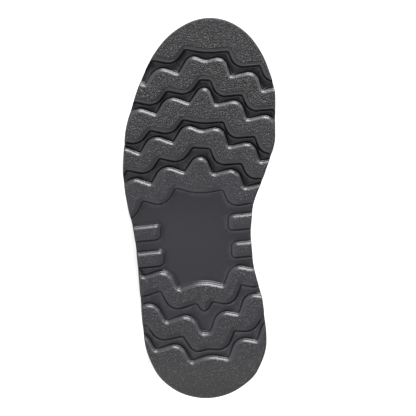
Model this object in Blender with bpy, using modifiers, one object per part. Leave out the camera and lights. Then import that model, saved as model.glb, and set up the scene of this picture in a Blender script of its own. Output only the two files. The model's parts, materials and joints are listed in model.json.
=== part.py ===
"""Moc toe work boot for the right foot, lying on its outer side.

The boot is worked out upright, in millimetres. X runs from the heel to the toe, Y from the outer side
to the inner side, and Z up from the floor under the tread. An empty then lays the whole boot down.
"""

import math
from collections import namedtuple

import bmesh
import bpy
import numpy as np
from mathutils import Matrix, Vector

MM = 0.001
CLEARANCE = 0.3

# Outsole
SOLE_LENGTH = 298.0
SIDE_FLARE = 0.12
GROOVE_DEPTH = 5.0
GROOVE_DRAFT = 0.9
LUG_CORNER = 8.0
NOTCH_CORNER = 2.0
LIP_HEIGHT = 4.2
LIP_PROUD = 1.0
RING_STATIONS = 40

# Stepped chevron of the tread
STEP_PERIOD = 25.2
STEP_STEEP_OUTER = 7.8
STEP_STEEP_INNER = 5.8
HEEL_STEEP_OUTER = 6.5
HEEL_STEEP_INNER = 8.0
STEP_NET_FALL = 10.0
HEEL_NET_FALL = 11.6
TIP_LENGTH = 9.0
THUMB_DROP = 3.0
PATTERN_REACH = 82.0
FLAT_PEAK = 9.0
HEEL_STRETCH_LATERAL = 1.08
HEEL_STRETCH_MEDIAL = 0.93

# Waist bars
BAR_WIDTH = 10.8
BAR_SLANT = 0.1
BAR_LENGTH = 60.0

# Upper
WALL = 2.2
WELT_MARGIN_TOE = 6.5
WELT_MARGIN_HEEL = 5.0
WELT_THICKNESS = 3.5
INSOLE_THICKNESS = 4.0
AXIS_BOW = 5.0
SIDE_BULGE = 0.045
BULGE_START = 4.5
BULGE_RISE = 20.0
ANKLE_RISE = 52.0
ANKLE_FRONT = 188.0
ANKLE_BACK = 105.0
HEEL_ROUND = 47.0
FOOT_ROWS = 30
SHAFT_ROWS = 8
BACK_ANGLE_STEP = 55.0
COLLAR_BACK = 174.0
SHOULDER_STEPS = 6
WALL_STEPS = 5

# Throat, tongue, overlays and lacing
THROAT_X = 190.0
THROAT_ROUND = 16.0
THROAT_HALF_FRONT = 11.0
THROAT_HALF_COLLAR = 16.0
TONGUE_THICKNESS = 3.0
TONGUE_HALF = 33.0
TONGUE_FRONT = 205.0
TONGUE_RISE = 11.0
OVERLAY_LIFT = 0.75
EYESTAY_THICKNESS = 1.5
EYESTAY_WIDTH = 21.0
EYESTAY_CORNER = 0.2
EYESTAY_EDGE = 1.2
COUNTER_THICKNESS = 1.5
COUNTER_BACK = 98.0
COUNTER_FRONT = 88.0
EYELET_PAIRS = 7
EYELET_RING = 3.3
EYELET_TUBE = 0.9
EYELET_EDGE = 8.5
LACE_WIDTH = 5.0
LACE_THICKNESS = 1.8
LACE_OVER = 0.5
SEAM_HALF = 2.6
SEAM_HEIGHT = 2.6
SEAM_TOE = 280.5
SEAM_SHOULDER = 208.0
SEAM_SPREAD = 34.0
SEAM_BACK = 184.0
SEAM_TAPER = 0.2

# A point inside the boot that its weight acts through, used to choose the side it lies on
BALANCE = (130.0, 0.0, 40.0)

Edge = namedtuple("Edge", "x lateral medial")
OUTLINE = (
    Edge(0.0, 0.0, 0.0),
    Edge(8.0, -26.5, 26.3),
    Edge(22.0, -39.8, 40.5),
    Edge(45.0, -48.1, 47.4),
    Edge(75.0, -51.0, 44.6),
    Edge(105.0, -53.5, 37.3),
    Edge(130.0, -56.6, 35.3),
    Edge(150.0, -61.2, 37.0),
    Edge(175.0, -64.9, 45.8),
    Edge(205.0, -63.4, 54.2),
    Edge(235.0, -55.8, 54.3),
    Edge(260.0, -46.0, 48.1),
    Edge(280.0, -32.9, 37.2),
    Edge(292.0, -17.9, 23.9),
    Edge(298.0, 3.2, 3.2),
)

Height = namedtuple("Height", "x tread seat")
HEIGHTS = (
    Height(0.0, 2.5, 37.8),
    Height(14.0, 0.0, 37.5),
    Height(45.0, 0.0, 36.8),
    Height(80.0, 0.0, 34.6),
    Height(115.0, 0.0, 30.0),
    Height(150.0, 0.0, 24.0),
    Height(180.0, 0.0, 20.0),
    Height(202.0, 0.0, 18.6),
    Height(235.0, 2.2, 18.9),
    Height(265.0, 6.2, 21.4),
    Height(298.0, 12.5, 27.0),
)

Axis = namedtuple("Axis", "x y")
TREAD_AXIS = (
    Axis(0.0, 5.4),
    Axis(45.0, 1.3),
    Axis(90.0, -3.1),
    Axis(150.0, -6.4),
    Axis(180.0, -5.4),
    Axis(205.0, -3.8),
    Axis(250.0, -1.4),
    Axis(298.0, 0.8),
)

# Each groove runs between two stepped edges. An edge has its place along the sole, and the distance of its
# first step from the tread axis on the outer and the inner side. The steps fall away from the toe in the
# forefoot, and rise to it in the heel.
Groove = namedtuple(
    "Groove",
    "name turn front front_outer front_inner front_rise back back_outer back_inner back_rise",
)
GROOVES = (
    Groove("groove_toe", -1, 273.4, 16.6, 18.3, 2.8, 268.0, 12.0, 14.5, 5.6),
    Groove("groove_tip", -1, 249.8, 3.9, 5.5, 2.8, 245.2, 2.6, 3.6, 5.6),
    Groove("groove_ball", -1, 218.0, 15.4, 17.2, 2.8, 213.4, 13.2, 15.8, 5.6),
    Groove("groove_arch", -1, 196.6, 6.4, 8.2, 2.8, 191.2, 3.2, 4.6, 5.6),
    Groove("groove_heel_front", 1, 59.8, -2.0, -1.0, 4.6, 51.2, 3.6, 3.9, 4.8),
    Groove("groove_heel_back", 1, 37.6, 10.2, 14.6, 2.4, 29.4, 13.4, 17.0, 4.6),
)
FRONT = slice(Groove._fields.index("front"), Groove._fields.index("back"))
BACK = slice(Groove._fields.index("back"), len(Groove._fields))
WAIST_FRONT = 164.8
WAIST_FRONT_OUTER = 18.2
WAIST_FRONT_INNER = 20.0
WAIST_FRONT_RISE = 4.0
WAIST_BACK = 86.4
WAIST_BACK_OUTER = 17.6
WAIST_BACK_INNER = 18.8
WAIST_BACK_RISE = 4.8

Bar = namedtuple("Bar", "name x inner_end")
BARS = (
    Bar("bar_outer_front", 129.4, -36.4),
    Bar("bar_outer_back", 108.9, -33.7),
    Bar("bar_inner_front", 138.4, 18.3),
    Bar("bar_inner_back", 117.0, 20.9),
)

# Side wall of the outsole: share of the wall's height, lift, and the inset as a length and a share of
# the flare
Level = namedtuple("Level", "share lift inset flared")
SIDE_LEVELS = (
    Level(0.0, 0.0, 0.8, 0.0),
    Level(0.0, 0.9, 0.0, 0.0),
    Level(0.0, GROOVE_DEPTH + 0.6, 0.4, 0.0),
    Level(1.0, -LIP_HEIGHT - 0.8, 0.6, 0.85),
    Level(1.0, -LIP_HEIGHT, 0.6 - LIP_PROUD, 1.0),
    Level(1.0, -0.8, 0.6 - LIP_PROUD, 1.0),
    Level(1.0, 0.0, 1.3 - LIP_PROUD, 1.0),
)

# Sections of the upper from the toe to the collar. Each one is a straight cut in the side view, from a
# point on the feather line (reach is its x, and carries on below the heel's x up the back line) to a point
# on the top line. Widest is the share of the cut where the section begins to close, and shoulder is how
# square it closes.
Section = namedtuple("Section", "reach top_x top_z widest shoulder")
SECTIONS = (
    Section(289.8, 289.8, 50.0, 0.30, 2.8),
    Section(287.0, 287.0, 57.0, 0.30, 2.8),
    Section(280.0, 280.0, 62.0, 0.28, 2.8),
    Section(266.0, 266.0, 66.0, 0.25, 2.8),
    Section(246.0, 247.0, 70.0, 0.22, 2.6),
    Section(220.0, 224.0, 76.5, 0.20, 2.4),
    Section(188.0, 203.0, 85.0, 0.20, 2.1),
    Section(152.0, 185.0, 94.0, 0.22, 1.9),
    Section(112.0, 167.0, 105.0, 0.30, 1.9),
    Section(68.0, 151.0, 116.5, 0.40, 2.0),
    Section(30.0, 141.5, 125.0, 0.45, 2.1),
    Section(9.4, 136.0, 132.0, 0.48, 2.1),
    Section(-20.0, 132.0, 141.0, 0.50, 2.2),
    Section(-60.0, 129.0, 155.5, 0.50, 2.2),
    Section(-100.0, 127.5, 171.5, 0.50, 2.3),
    Section(-127.0, 127.0, 186.0, 0.50, 2.3),
    Section(-150.0, 128.0, 201.0, 0.50, 2.3),
)

# Back line and half widths of the shaft at each height
Shaft = namedtuple("Shaft", "z back lateral medial")
SHAFT = (
    Shaft(37.0, 0.0, 38.0, 37.0),
    Shaft(43.0, 0.0, 38.0, 37.0),
    Shaft(62.0, -2.8, 38.5, 38.0),
    Shaft(82.0, -1.0, 37.0, 37.0),
    Shaft(108.0, 3.6, 36.0, 36.0),
    Shaft(140.0, 3.0, 37.5, 37.0),
    Shaft(168.0, 0.6, 40.5, 39.5),
    Shaft(200.0, -1.5, 41.5, 40.5),
)


def column(rows, name):
    return np.array([getattr(row, name) for row in rows], float)


def smooth(at, keys, values):
    """Monotone cubic curve through the points of a table, flat where two rows agree."""
    keys, values = np.asarray(keys, float), np.asarray(values, float)
    if keys[0] > keys[-1]:
        keys, values = keys[::-1], values[::-1]
    gaps = np.diff(keys)
    slopes = np.diff(values) / gaps
    before, after = slopes[:-1], slopes[1:]
    rising = before * after > 0
    total = np.where(rising, before + after, 1.0)
    inner = np.where(rising, 2 * before * after / total, 0.0)
    tangents = np.concatenate(([slopes[0]], inner, [slopes[-1]]))
    at = np.clip(np.asarray(at, float), keys[0], keys[-1])
    cell = np.clip(np.searchsorted(keys, at, side="right") - 1, 0, len(gaps) - 1)
    width = gaps[cell]
    share = (at - keys[cell]) / width
    square, cube = share**2, share**3
    start = (2 * cube - 3 * square + 1) * values[cell]
    leaving = (cube - 2 * square + share) * width * tangents[cell]
    end = (3 * square - 2 * cube) * values[cell + 1]
    arriving = (cube - square) * width * tangents[cell + 1]
    return start + leaving + end + arriving


def ease(share):
    share = np.clip(share, 0.0, 1.0)
    return share * share * (3 - 2 * share)


def end_angle(x, start, end):
    """Angle that runs evenly round both rounded ends of an outline."""
    return np.arccos(np.clip(1 - 2 * (np.asarray(x, float) - start) / (end - start), -1.0, 1.0))


def tread_height(x):
    return smooth(x, column(HEIGHTS, "x"), column(HEIGHTS, "tread"))


def seat_height(x):
    return smooth(x, column(HEIGHTS, "x"), column(HEIGHTS, "seat"))


def flare_at(x):
    return SIDE_FLARE * (seat_height(x) - tread_height(x))


def welt_margin(x):
    share = ease((np.asarray(x, float) - 60.0) / 110.0)
    return WELT_MARGIN_HEEL + (WELT_MARGIN_TOE - WELT_MARGIN_HEEL) * share


def outline_ring(stations):
    """Plan points and outward normals of the tread's outline: outer side then inner side, heel to toe."""
    angle = np.linspace(0.0, math.pi, stations + 1)
    known = end_angle(column(OUTLINE, "x"), 0.0, SOLE_LENGTH)
    x = SOLE_LENGTH * (1 - np.cos(angle)) / 2
    lateral = np.stack([x, smooth(angle, known, column(OUTLINE, "lateral"))], axis=1)
    medial = np.stack([x, smooth(angle, known, column(OUTLINE, "medial"))], axis=1)
    loop = np.concatenate([lateral, medial[-2:0:-1]])
    along = np.roll(loop, -1, axis=0) - np.roll(loop, 1, axis=0)
    normal = np.stack([along[:, 1], -along[:, 0]], axis=1)
    normal /= np.linalg.norm(normal, axis=1, keepdims=True)
    back = np.concatenate([normal[:1], normal[:stations:-1], normal[stations:stations + 1]])
    return np.stack([lateral, medial]), np.stack([normal[:stations + 1], back])


def inset_ring(inset, stations=RING_STATIONS):
    points, normals = outline_ring(stations)
    if callable(inset):
        amount = inset(points[..., 0])
    else:
        amount = np.full(points.shape[:2], float(inset))
    return points - normals * amount[..., None]


def feather_inset(x):
    return flare_at(x) + welt_margin(x)


def raised(ring, height):
    return np.concatenate([ring, height(ring[..., 0])[..., None]], axis=2)


FEATHER = inset_ring(feather_inset, 240)
HEEL_X = FEATHER[0, 0, 0]
TOE_X = FEATHER[0, -1, 0]


def axis_y(x):
    """Middle line of the upper in plan, bowed to the outer side."""
    share = np.clip((np.asarray(x, float) - HEEL_X) / (TOE_X - HEEL_X), 0.0, 1.0)
    start, end = FEATHER[0, 0, 1], FEATHER[0, -1, 1]
    return start + (end - start) * share - AXIS_BOW * np.sin(math.pi * share) ** 2


def feather_half(x, side):
    """Half width of the feather line, from the middle line to the outer (0) or inner (1) side."""
    edge = FEATHER[side]
    y = np.interp(end_angle(x, HEEL_X, TOE_X), end_angle(edge[:, 0], HEEL_X, TOE_X), edge[:, 1])
    return np.maximum((axis_y(x) - y) * (1, -1)[side], 0.0)


def back_x(z):
    return HEEL_X + smooth(z, column(SHAFT, "z"), column(SHAFT, "back"))


def side_half(x, z, side):
    """Half width of the upper before it closes over the top."""
    rise = z - seat_height(x)
    foot = feather_half(x - (back_x(z) - HEEL_X) * ease((120.0 - x) / 80.0), side)
    foot = foot * (1 + SIDE_BULGE * ease((rise - BULGE_START) / BULGE_RISE))
    width = smooth(z, column(SHAFT, "z"), column(SHAFT, ("lateral", "medial")[side]))
    round_share = np.clip((x - back_x(z)) / HEEL_ROUND, 0.0, 1.0)
    shaft = width * np.sqrt(1 - (1 - round_share) ** 2)
    blend = ease((ANKLE_FRONT - x) / (ANKLE_FRONT - ANKLE_BACK)) * ease((rise - BULGE_START) / ANKLE_RISE)
    return foot + blend * (shaft - foot)


def travel(reach):
    """Even coordinate from the toe (0) along the feather line to the heel, then up the back."""
    reach = np.asarray(reach, float)
    foot = math.pi - end_angle(np.maximum(reach, HEEL_X), HEEL_X, TOE_X)
    return foot + np.maximum(HEEL_X - reach, 0.0) / BACK_ANGLE_STEP


def section_at(way):
    """Bottom point, top point, widest share and shoulder of the section at a travel coordinate."""
    way = np.asarray(way, float)
    keys = travel(column(SECTIONS, "reach"))
    low_x = HEEL_X + (TOE_X - HEEL_X) * (1 + np.cos(np.minimum(way, math.pi))) / 2
    low_z = seat_height(low_x) + 2 * CLEARANCE + np.maximum(way - math.pi, 0.0) * BACK_ANGLE_STEP
    low_x = np.where(way > math.pi, back_x(low_z), low_x)
    tops = [smooth(way, keys, column(SECTIONS, name)) for name in ("top_x", "top_z", "widest", "shoulder")]
    return (low_x, low_z, *tops)


def upper_point(way, turn, side):
    """Point of the upper's outer face. Turn runs from 0 at the top line to 1 at the feather line."""
    low_x, low_z, top_x, top_z, widest, shoulder = section_at(way)
    turn = np.asarray(turn, float)
    split = 0.7
    angle = np.clip(turn / split, 0.0, 1.0) * math.pi / 2
    rise = widest + (1 - widest) * np.cos(angle) ** (2 / shoulder)
    rounding = 1 + ease((way / math.pi - 0.5) / 0.4)
    rise = np.where(turn > split, widest * np.clip((1 - turn) / (1 - split), 0.0, 1.0) ** rounding, rise)
    closing = np.where(turn > split, 1.0, np.sin(angle) ** (2 / shoulder))
    x = low_x + rise * (top_x - low_x)
    z = low_z + rise * (top_z - low_z)
    y = axis_y(x) + (-1, 1)[side] * side_half(x, z, side) * closing
    return np.stack(np.broadcast_arrays(x, y, z), axis=-1)


def turn_at(way, spread, side):
    """Turn at which the upper's face is a given distance from its middle line, near the top line."""
    low_x, low_z, top_x, top_z, widest, shoulder = section_at(way)
    spread = np.asarray(spread, float)
    rise = np.ones(np.broadcast(way, spread).shape)
    for _ in range(6):
        half = side_half(low_x + rise * (top_x - low_x), low_z + rise * (top_z - low_z), side)
        closing = np.clip(spread / np.maximum(half, 1e-6), 0.0, 0.999)
        angle = np.arcsin(closing ** (shoulder / 2))
        rise = widest + (1 - widest) * np.cos(angle) ** (2 / shoulder)
    return angle / (math.pi / 2) * 0.7


def front_point(way, spread):
    """Point on the upper's face, outer (minus) or inner (plus) side of the top line, and its normal."""
    def place(a, b):
        side = 0 if b < 0 else 1
        return upper_point(a, turn_at(a, abs(b), side), side)
    step = 0.02
    point = place(way, spread)
    along = place(way + step, spread) - place(way - step, spread)
    across = place(way, spread + 0.5) - place(way, spread - 0.5)
    normal = np.cross(across, along)
    return point, normal / np.linalg.norm(normal)


def way_of_top(x=None, z=None):
    """Travel coordinate where the top line passes a given x on the vamp, or a given z on the shaft."""
    ways = np.linspace(0.0, travel(SECTIONS[-1].reach), 2000)
    parts = section_at(ways)
    if x is not None:
        return float(ways[np.argmin(np.abs(parts[2] - x))])
    return float(ways[np.argmin(np.abs(parts[3] - z))])


def throat_half(way):
    start, end = way_of_top(x=THROAT_X), travel(HEEL_X - (COLLAR_BACK - SHAFT[0].z))
    full = THROAT_HALF_FRONT + (THROAT_HALF_COLLAR - THROAT_HALF_FRONT) * (way - start) / (end - start)
    top_x = section_at(way)[2]
    opening = np.clip((THROAT_X - top_x) / THROAT_ROUND, 0.0, 1.0)
    return np.maximum(full * np.sqrt(1 - (1 - opening) ** 2), 0.0)


def add_mesh(name, points, faces, collection, weld=1e-5):
    mesh = bpy.data.meshes.new(name)
    work = bmesh.new()
    corners = [work.verts.new(Vector(point) * MM) for point in points]
    for face in faces:
        work.faces.new([corners[index] for index in face])
    bmesh.ops.remove_doubles(work, verts=work.verts, dist=weld)
    bmesh.ops.dissolve_degenerate(work, edges=work.edges, dist=weld)
    bmesh.ops.recalc_face_normals(work, faces=work.faces)
    work.to_mesh(mesh)
    work.free()
    piece = bpy.data.objects.new(name, mesh)
    collection.objects.link(piece)
    return piece


def grid_faces(rows, columns, start=0):
    faces = []
    for row in range(rows - 1):
        for item in range(columns - 1):
            first = start + row * columns + item
            faces.append((first, first + 1, first + columns + 1, first + columns))
    return faces


def add_grid(name, grid, collection):
    """Open sheet from a grid of points."""
    rows, columns = grid.shape[:2]
    return add_mesh(name, grid.reshape(-1, 3), grid_faces(rows, columns), collection)


def thicken(piece, thickness, outward):
    """Give a sheet its thickness, away from the foot or toward it."""
    solid = piece.modifiers.new("Thickness", "SOLIDIFY")
    solid.thickness = thickness * MM
    solid.offset = 1.0 if outward else -1.0
    solid.use_even_offset = True
    solid.use_quality_normals = True


def lift_sheet(piece, amount):
    """Move an open sheet along its own normals."""
    mesh = piece.data
    moves = [vertex.normal.copy() for vertex in mesh.vertices]
    for vertex, normal in zip(mesh.vertices, moves):
        vertex.co += normal * amount * MM


def face_away(piece, inside):
    """Turn a sheet so that its faces look away from a point inside the boot."""
    mesh = piece.data
    centre = Vector(inside) * MM
    total = sum((face.center - centre).dot(face.normal) * face.area for face in mesh.polygons)
    if total < 0:
        mesh.flip_normals()


def ring_solid(name, rings, collection, capped):
    """Solid between rings of ladder points, closed by end caps or, uncapped, round on itself."""
    count = rings[0].shape[1]
    points = np.concatenate([ring.reshape(-1, 3) for ring in rings])
    size = 2 * count
    faces = []
    pairs = list(zip(range(len(rings) - 1), range(1, len(rings))))
    if not capped:
        pairs.append((len(rings) - 1, 0))
    for low, high in pairs:
        for side in (0, 1):
            for item in range(count - 1):
                first = low * size + side * count + item
                second = high * size + side * count + item
                faces.append((first, first + 1, second + 1, second))
    if capped:
        for level in (0, len(rings) - 1):
            for item in range(count - 1):
                first = level * size + item
                faces.append((first, first + 1, first + count + 1, first + count))
    return add_mesh(name, points, faces, collection)


def stair(distance, corner, rise, steep, net):
    """Fall of a stepped edge at a distance from the tread axis, with a rise between two falls."""
    gentle = rise / (STEP_PERIOD - steep)
    if distance < corner:
        return (corner - distance) * gentle
    if distance == 0.0 and corner < 0.0:
        return net + rise - TIP_LENGTH
    step, rest = divmod(distance - corner, STEP_PERIOD)
    fall = step * net
    if rest < steep:
        return fall + (net + rise) * rest / steep
    return fall + net + rise - (rest - steep) * gentle


def rounded_line(points, right_radius, left_radius, steps=2):
    """Polyline with its corners rounded, those that turn right more or less than those that turn left."""
    points = [np.array(point, float) for point in points]
    line = [points[0]]
    for before, corner, after in zip(points, points[1:], points[2:]):
        into, out = before - corner, after - corner
        radius = right_radius if into[0] * out[1] > into[1] * out[0] else left_radius
        cut_back = min(radius, 0.45 * np.linalg.norm(into), 0.45 * np.linalg.norm(out))
        start = corner + into / np.linalg.norm(into) * cut_back
        end = corner + out / np.linalg.norm(out) * cut_back
        for step in range(steps + 1):
            share = step / steps
            line.append((1 - share) ** 2 * start + 2 * share * (1 - share) * corner + share**2 * end)
    line.append(points[-1])
    return np.array(line)


def tread_point(x, offset):
    """Plan point at a distance along the sole and an offset square to the tread axis."""
    keys, values = column(TREAD_AXIS, "x"), column(TREAD_AXIS, "y")
    slope = (smooth(x + 1, keys, values) - smooth(x - 1, keys, values)) / 2
    middle = smooth(x, keys, values)
    length = np.sqrt(1 + slope**2)
    return np.stack([x - offset * slope / length, middle + offset / length], axis=-1)


def step_distances(corner, steep):
    """Distances from the tread axis where a stepped edge turns."""
    distances = set() if 0.0 < corner < FLAT_PEAK else {0.0}
    step = corner
    while step < PATTERN_REACH:
        distances.update((step, step + steep))
        step += STEP_PERIOD
    inside = [distance for distance in distances if 0.0 <= distance < PATTERN_REACH - 4.0]
    return sorted(inside) + [PATTERN_REACH]


def stepped_edge(position, outer, inner, rise, turn, side):
    """Stepped edge across the sole, outer side first. Its lug is to the front (1) or the back (-1)."""
    heel = turn > 0
    stretch = (HEEL_STRETCH_LATERAL, HEEL_STRETCH_MEDIAL) if heel else (1.0, 1.0)
    steeps = (HEEL_STEEP_OUTER, HEEL_STEEP_INNER) if heel else (STEP_STEEP_OUTER, STEP_STEEP_INNER)
    net = HEEL_NET_FALL if heel else STEP_NET_FALL
    halves = []
    for corner, steep in zip((outer, inner), steeps):
        distances = step_distances(corner, steep)
        falls = [stair(distance, corner, rise, steep, net) for distance in distances]
        if 0.0 < corner < FLAT_PEAK and side < 0 and not heel:
            falls[0] += THUMB_DROP
        halves.append([(position + turn * fall, distance) for fall, distance in zip(falls, distances)])
    line = [(x, -distance * stretch[0]) for x, distance in halves[0][::-1] if distance > 0]
    line += [(x, distance * stretch[1]) for x, distance in halves[1]]
    radii = (LUG_CORNER, NOTCH_CORNER)[::side]
    line = rounded_line(line, *radii)
    return tread_point(line[:, 0], line[:, 1])


def add_cutter(name, front, back, depth, collection):
    """Drafted band under the sole between two edges, its roof following the tread's height."""
    loop = np.concatenate([front, back[::-1]])
    draft = np.concatenate([np.full(len(front), -GROOVE_DRAFT), np.full(len(back), GROOVE_DRAFT)])
    mesh = bpy.data.meshes.new(name)
    work = bmesh.new()
    low = [work.verts.new((x, y, 0.0)) for x, y in loop]
    high = [work.verts.new((x + shift, y, 1.0)) for (x, y), shift in zip(loop, draft)]
    work.faces.new(low[::-1])
    work.faces.new(high)
    for item in range(len(loop)):
        other = (item + 1) % len(loop)
        work.faces.new((low[item], low[other], high[other], high[item]))
    work.normal_update()
    bmesh.ops.triangulate(work, faces=work.faces)
    bmesh.ops.recalc_face_normals(work, faces=work.faces)
    for vertex in low:
        vertex.co.z = float(tread_height(vertex.co.x)) - 4.0
    for vertex in high:
        vertex.co.z = float(tread_height(vertex.co.x)) + depth
    bmesh.ops.scale(work, vec=(MM, MM, MM), verts=work.verts)
    work.to_mesh(mesh)
    work.free()
    cutter = bpy.data.objects.new(name, mesh)
    collection.objects.link(cutter)
    return cutter


def cut(piece, cutter, operation="DIFFERENCE"):
    change = piece.modifiers.new(cutter.name, "BOOLEAN")
    change.operation = operation
    change.solver = "EXACT"
    change.object = cutter
    cutter.hide_render = True
    cutter.display_type = "WIRE"


def add_box(name, low, high, slant, collection):
    """Box between two corners, slanted so that its x grows across the sole."""
    points = []
    for z in (low[2], high[2]):
        for x, y in ((low[0], low[1]), (high[0], low[1]), (high[0], high[1]), (low[0], high[1])):
            points.append((x + slant * y, y, z))
    faces = [(0, 3, 2, 1), (4, 5, 6, 7), (0, 1, 5, 4), (1, 2, 6, 5), (2, 3, 7, 6), (3, 0, 4, 7)]
    return add_mesh(name, points, faces, collection)


def wall_height(x, level):
    """Height of a level of the side wall."""
    return tread_height(x) + level.share * (seat_height(x) - tread_height(x)) + level.lift


def build_outsole(parts, cutters):
    rings = []
    for level in SIDE_LEVELS:
        ring = inset_ring(lambda x: level.inset + level.flared * flare_at(x))
        rings.append(raised(ring, lambda x: wall_height(x, level)))
    outsole = ring_solid("outsole", rings, parts, capped=True)
    for groove in GROOVES:
        front = stepped_edge(*groove[FRONT], groove.turn, 1)
        back = stepped_edge(*groove[BACK], groove.turn, -1)
        cut(outsole, add_cutter(groove.name, front, back, GROOVE_DEPTH, cutters))
    front = stepped_edge(WAIST_FRONT, WAIST_FRONT_OUTER, WAIST_FRONT_INNER, WAIST_FRONT_RISE, -1, 1)
    back = stepped_edge(WAIST_BACK, WAIST_BACK_OUTER, WAIST_BACK_INNER, WAIST_BACK_RISE, 1, -1)
    recess = add_cutter("waist_recess", front, back, GROOVE_DEPTH, cutters)
    for bar in BARS:
        outer_end = bar.inner_end + math.copysign(BAR_LENGTH, bar.inner_end)
        near, far = sorted((bar.inner_end, outer_end))
        middle = bar.x - BAR_SLANT * (bar.inner_end + math.copysign(10.0, bar.inner_end))
        box = add_box(bar.name, (middle - BAR_WIDTH / 2, near, -10.0), (middle + BAR_WIDTH / 2, far, 20.0),
                      BAR_SLANT, cutters)
        cut(recess, box)
    cut(outsole, recess)
    return outsole


def build_welt(parts):
    outer = inset_ring(lambda x: flare_at(x) + 0.5)
    inner = inset_ring(lambda x: feather_inset(x) - 0.6)
    low = CLEARANCE
    high = CLEARANCE + WELT_THICKNESS
    rings = [raised(ring, lambda x, lift=lift: seat_height(x) + lift)
             for ring, lift in ((outer, low), (outer, high), (inner, high), (inner, low))]
    return ring_solid("welt", rings, parts, capped=False)


def build_insole(parts):
    edge = inset_ring(lambda x: feather_inset(x) + WALL + 0.9, 34)
    rings = [raised(edge, lambda x, lift=lift: seat_height(x) + lift)
             for lift in (CLEARANCE, CLEARANCE + INSOLE_THICKNESS)]
    return ring_solid("insole", rings, parts, capped=True)


def build_upper(parts):
    collar = float(travel(HEEL_X - (COLLAR_BACK - seat_height(HEEL_X))))
    ways = np.concatenate([np.linspace(0.0, math.pi, FOOT_ROWS + 1),
                           np.linspace(math.pi, collar, SHAFT_ROWS + 1)[1:]])
    shoulder = np.linspace(0.0, 0.7, SHOULDER_STEPS + 1)
    wall = np.linspace(0.7, 1.0, WALL_STEPS + 1)[1:]
    turns = np.concatenate([shoulder, wall])
    points, faces = [], []
    for side in (0, 1):
        grid = []
        for way in ways:
            edge = turn_at(way, throat_half(way), side) if throat_half(way) > 0 else 0.0
            spread = np.where(turns < 0.7, edge + (0.7 - edge) * turns / 0.7, turns)
            grid.append(upper_point(np.full(len(turns), way), spread, side))
        start = len(points)
        points.extend(np.array(grid).reshape(-1, 3))
        faces.extend(grid_faces(len(ways), len(turns), start))
    upper = add_mesh("upper", points, faces, parts)
    face_away(upper, BALANCE)
    thicken(upper, WALL, outward=False)
    return upper


def build_tongue(parts):
    start = way_of_top(x=TONGUE_FRONT)
    end = way_of_top(z=SECTIONS[-2].top_z + TONGUE_RISE)
    grid = []
    for way in np.linspace(start, end, 17):
        half = min(TONGUE_HALF, 17.0 + 0.45 * (TONGUE_FRONT - float(section_at(way)[2])))
        spreads = np.linspace(-half, half, 7)
        grid.append([front_point(way, spread)[0] for spread in spreads])
    tongue = add_grid("tongue", np.array(grid), parts)
    face_away(tongue, BALANCE)
    lift_sheet(tongue, -(WALL + 1.7))
    thicken(tongue, TONGUE_THICKNESS, outward=False)
    return tongue


def strip_turns(way, edge, width, count, side):
    """Turns across a strip of even width, which starts at a distance from the middle line."""
    turns = np.linspace(float(turn_at(way, edge, side)), 1.0, 80)
    points = upper_point(np.full(len(turns), way), turns, side)
    length = np.concatenate([[0.0], np.cumsum(np.linalg.norm(np.diff(points, axis=0), axis=1))])
    return np.interp(np.linspace(0.0, width, count), length, turns)


def build_eyestay(name, side, parts):
    start = way_of_top(x=THROAT_X - THROAT_ROUND * 0.55)
    end = float(travel(HEEL_X - (COLLAR_BACK - seat_height(HEEL_X)))) - 0.09
    grid = []
    for share in np.linspace(0.0, 1.0, 21):
        way = start + (end - start) * share
        edge = float(throat_half(way)) + EYESTAY_EDGE
        width = EYESTAY_WIDTH * math.sqrt(1 - 0.8 * max(0.0, 1 - share / EYESTAY_CORNER) ** 2)
        turns = strip_turns(way, edge, width, 5, side)
        grid.append(upper_point(np.full(len(turns), way), turns, side))
    eyestay = add_grid(name, np.array(grid), parts)
    face_away(eyestay, BALANCE)
    lift_sheet(eyestay, OVERLAY_LIFT)
    thicken(eyestay, EYESTAY_THICKNESS, outward=True)
    return eyestay


def build_counter(parts):
    """Heel overlay: level cuts round the heel, shorter toward its top."""
    grid = []
    around = np.linspace(-1.0, 1.0, 19)
    for level in np.linspace(0.0, 1.0, 7):
        row = []
        for turn in around:
            side = 0 if turn < 0 else 1
            base = seat_height(HEEL_X) + WELT_THICKNESS + 2.0
            z_back = base + level * (COUNTER_BACK - base)
            front = COUNTER_FRONT - 46.0 * level**1.6
            x = back_x(z_back) + (front - back_x(z_back)) * turn * turn
            low = seat_height(x) + WELT_THICKNESS + 2.0
            z = low + (z_back - base) * (1 - 0.25 * turn * turn)
            x = back_x(z) + (front - back_x(z)) * turn * turn
            row.append((x, axis_y(x) + (-1, 1)[side] * side_half(x, z, side), z))
        grid.append(row)
    counter = add_grid("heel_counter", np.array(grid, float), parts)
    face_away(counter, (60.0, 0.0, 70.0))
    lift_sheet(counter, OVERLAY_LIFT)
    thicken(counter, COUNTER_THICKNESS, outward=True)
    return counter


def sweep(name, path, normals, profile, parts):
    """Solid strip: a profile of (across, out) points carried along a path on the upper."""
    path, normals = np.array(path), np.array(normals)
    along = np.gradient(path, axis=0)
    along /= np.linalg.norm(along, axis=1, keepdims=True)
    across = np.cross(normals, along)
    across /= np.linalg.norm(across, axis=1, keepdims=True)
    rings = [path + across * side + normals * out for side, out in profile]
    grid = np.stack(rings, axis=1)
    count, size = grid.shape[:2]
    faces = [tuple(range(size)), tuple(range((count - 1) * size, count * size))]
    for item in range(count - 1):
        for corner in range(size):
            other = (corner + 1) % size
            faces.append((item * size + corner, item * size + other,
                          (item + 1) * size + other, (item + 1) * size + corner))
    return add_mesh(name, grid.reshape(-1, 3), faces, parts)


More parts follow.
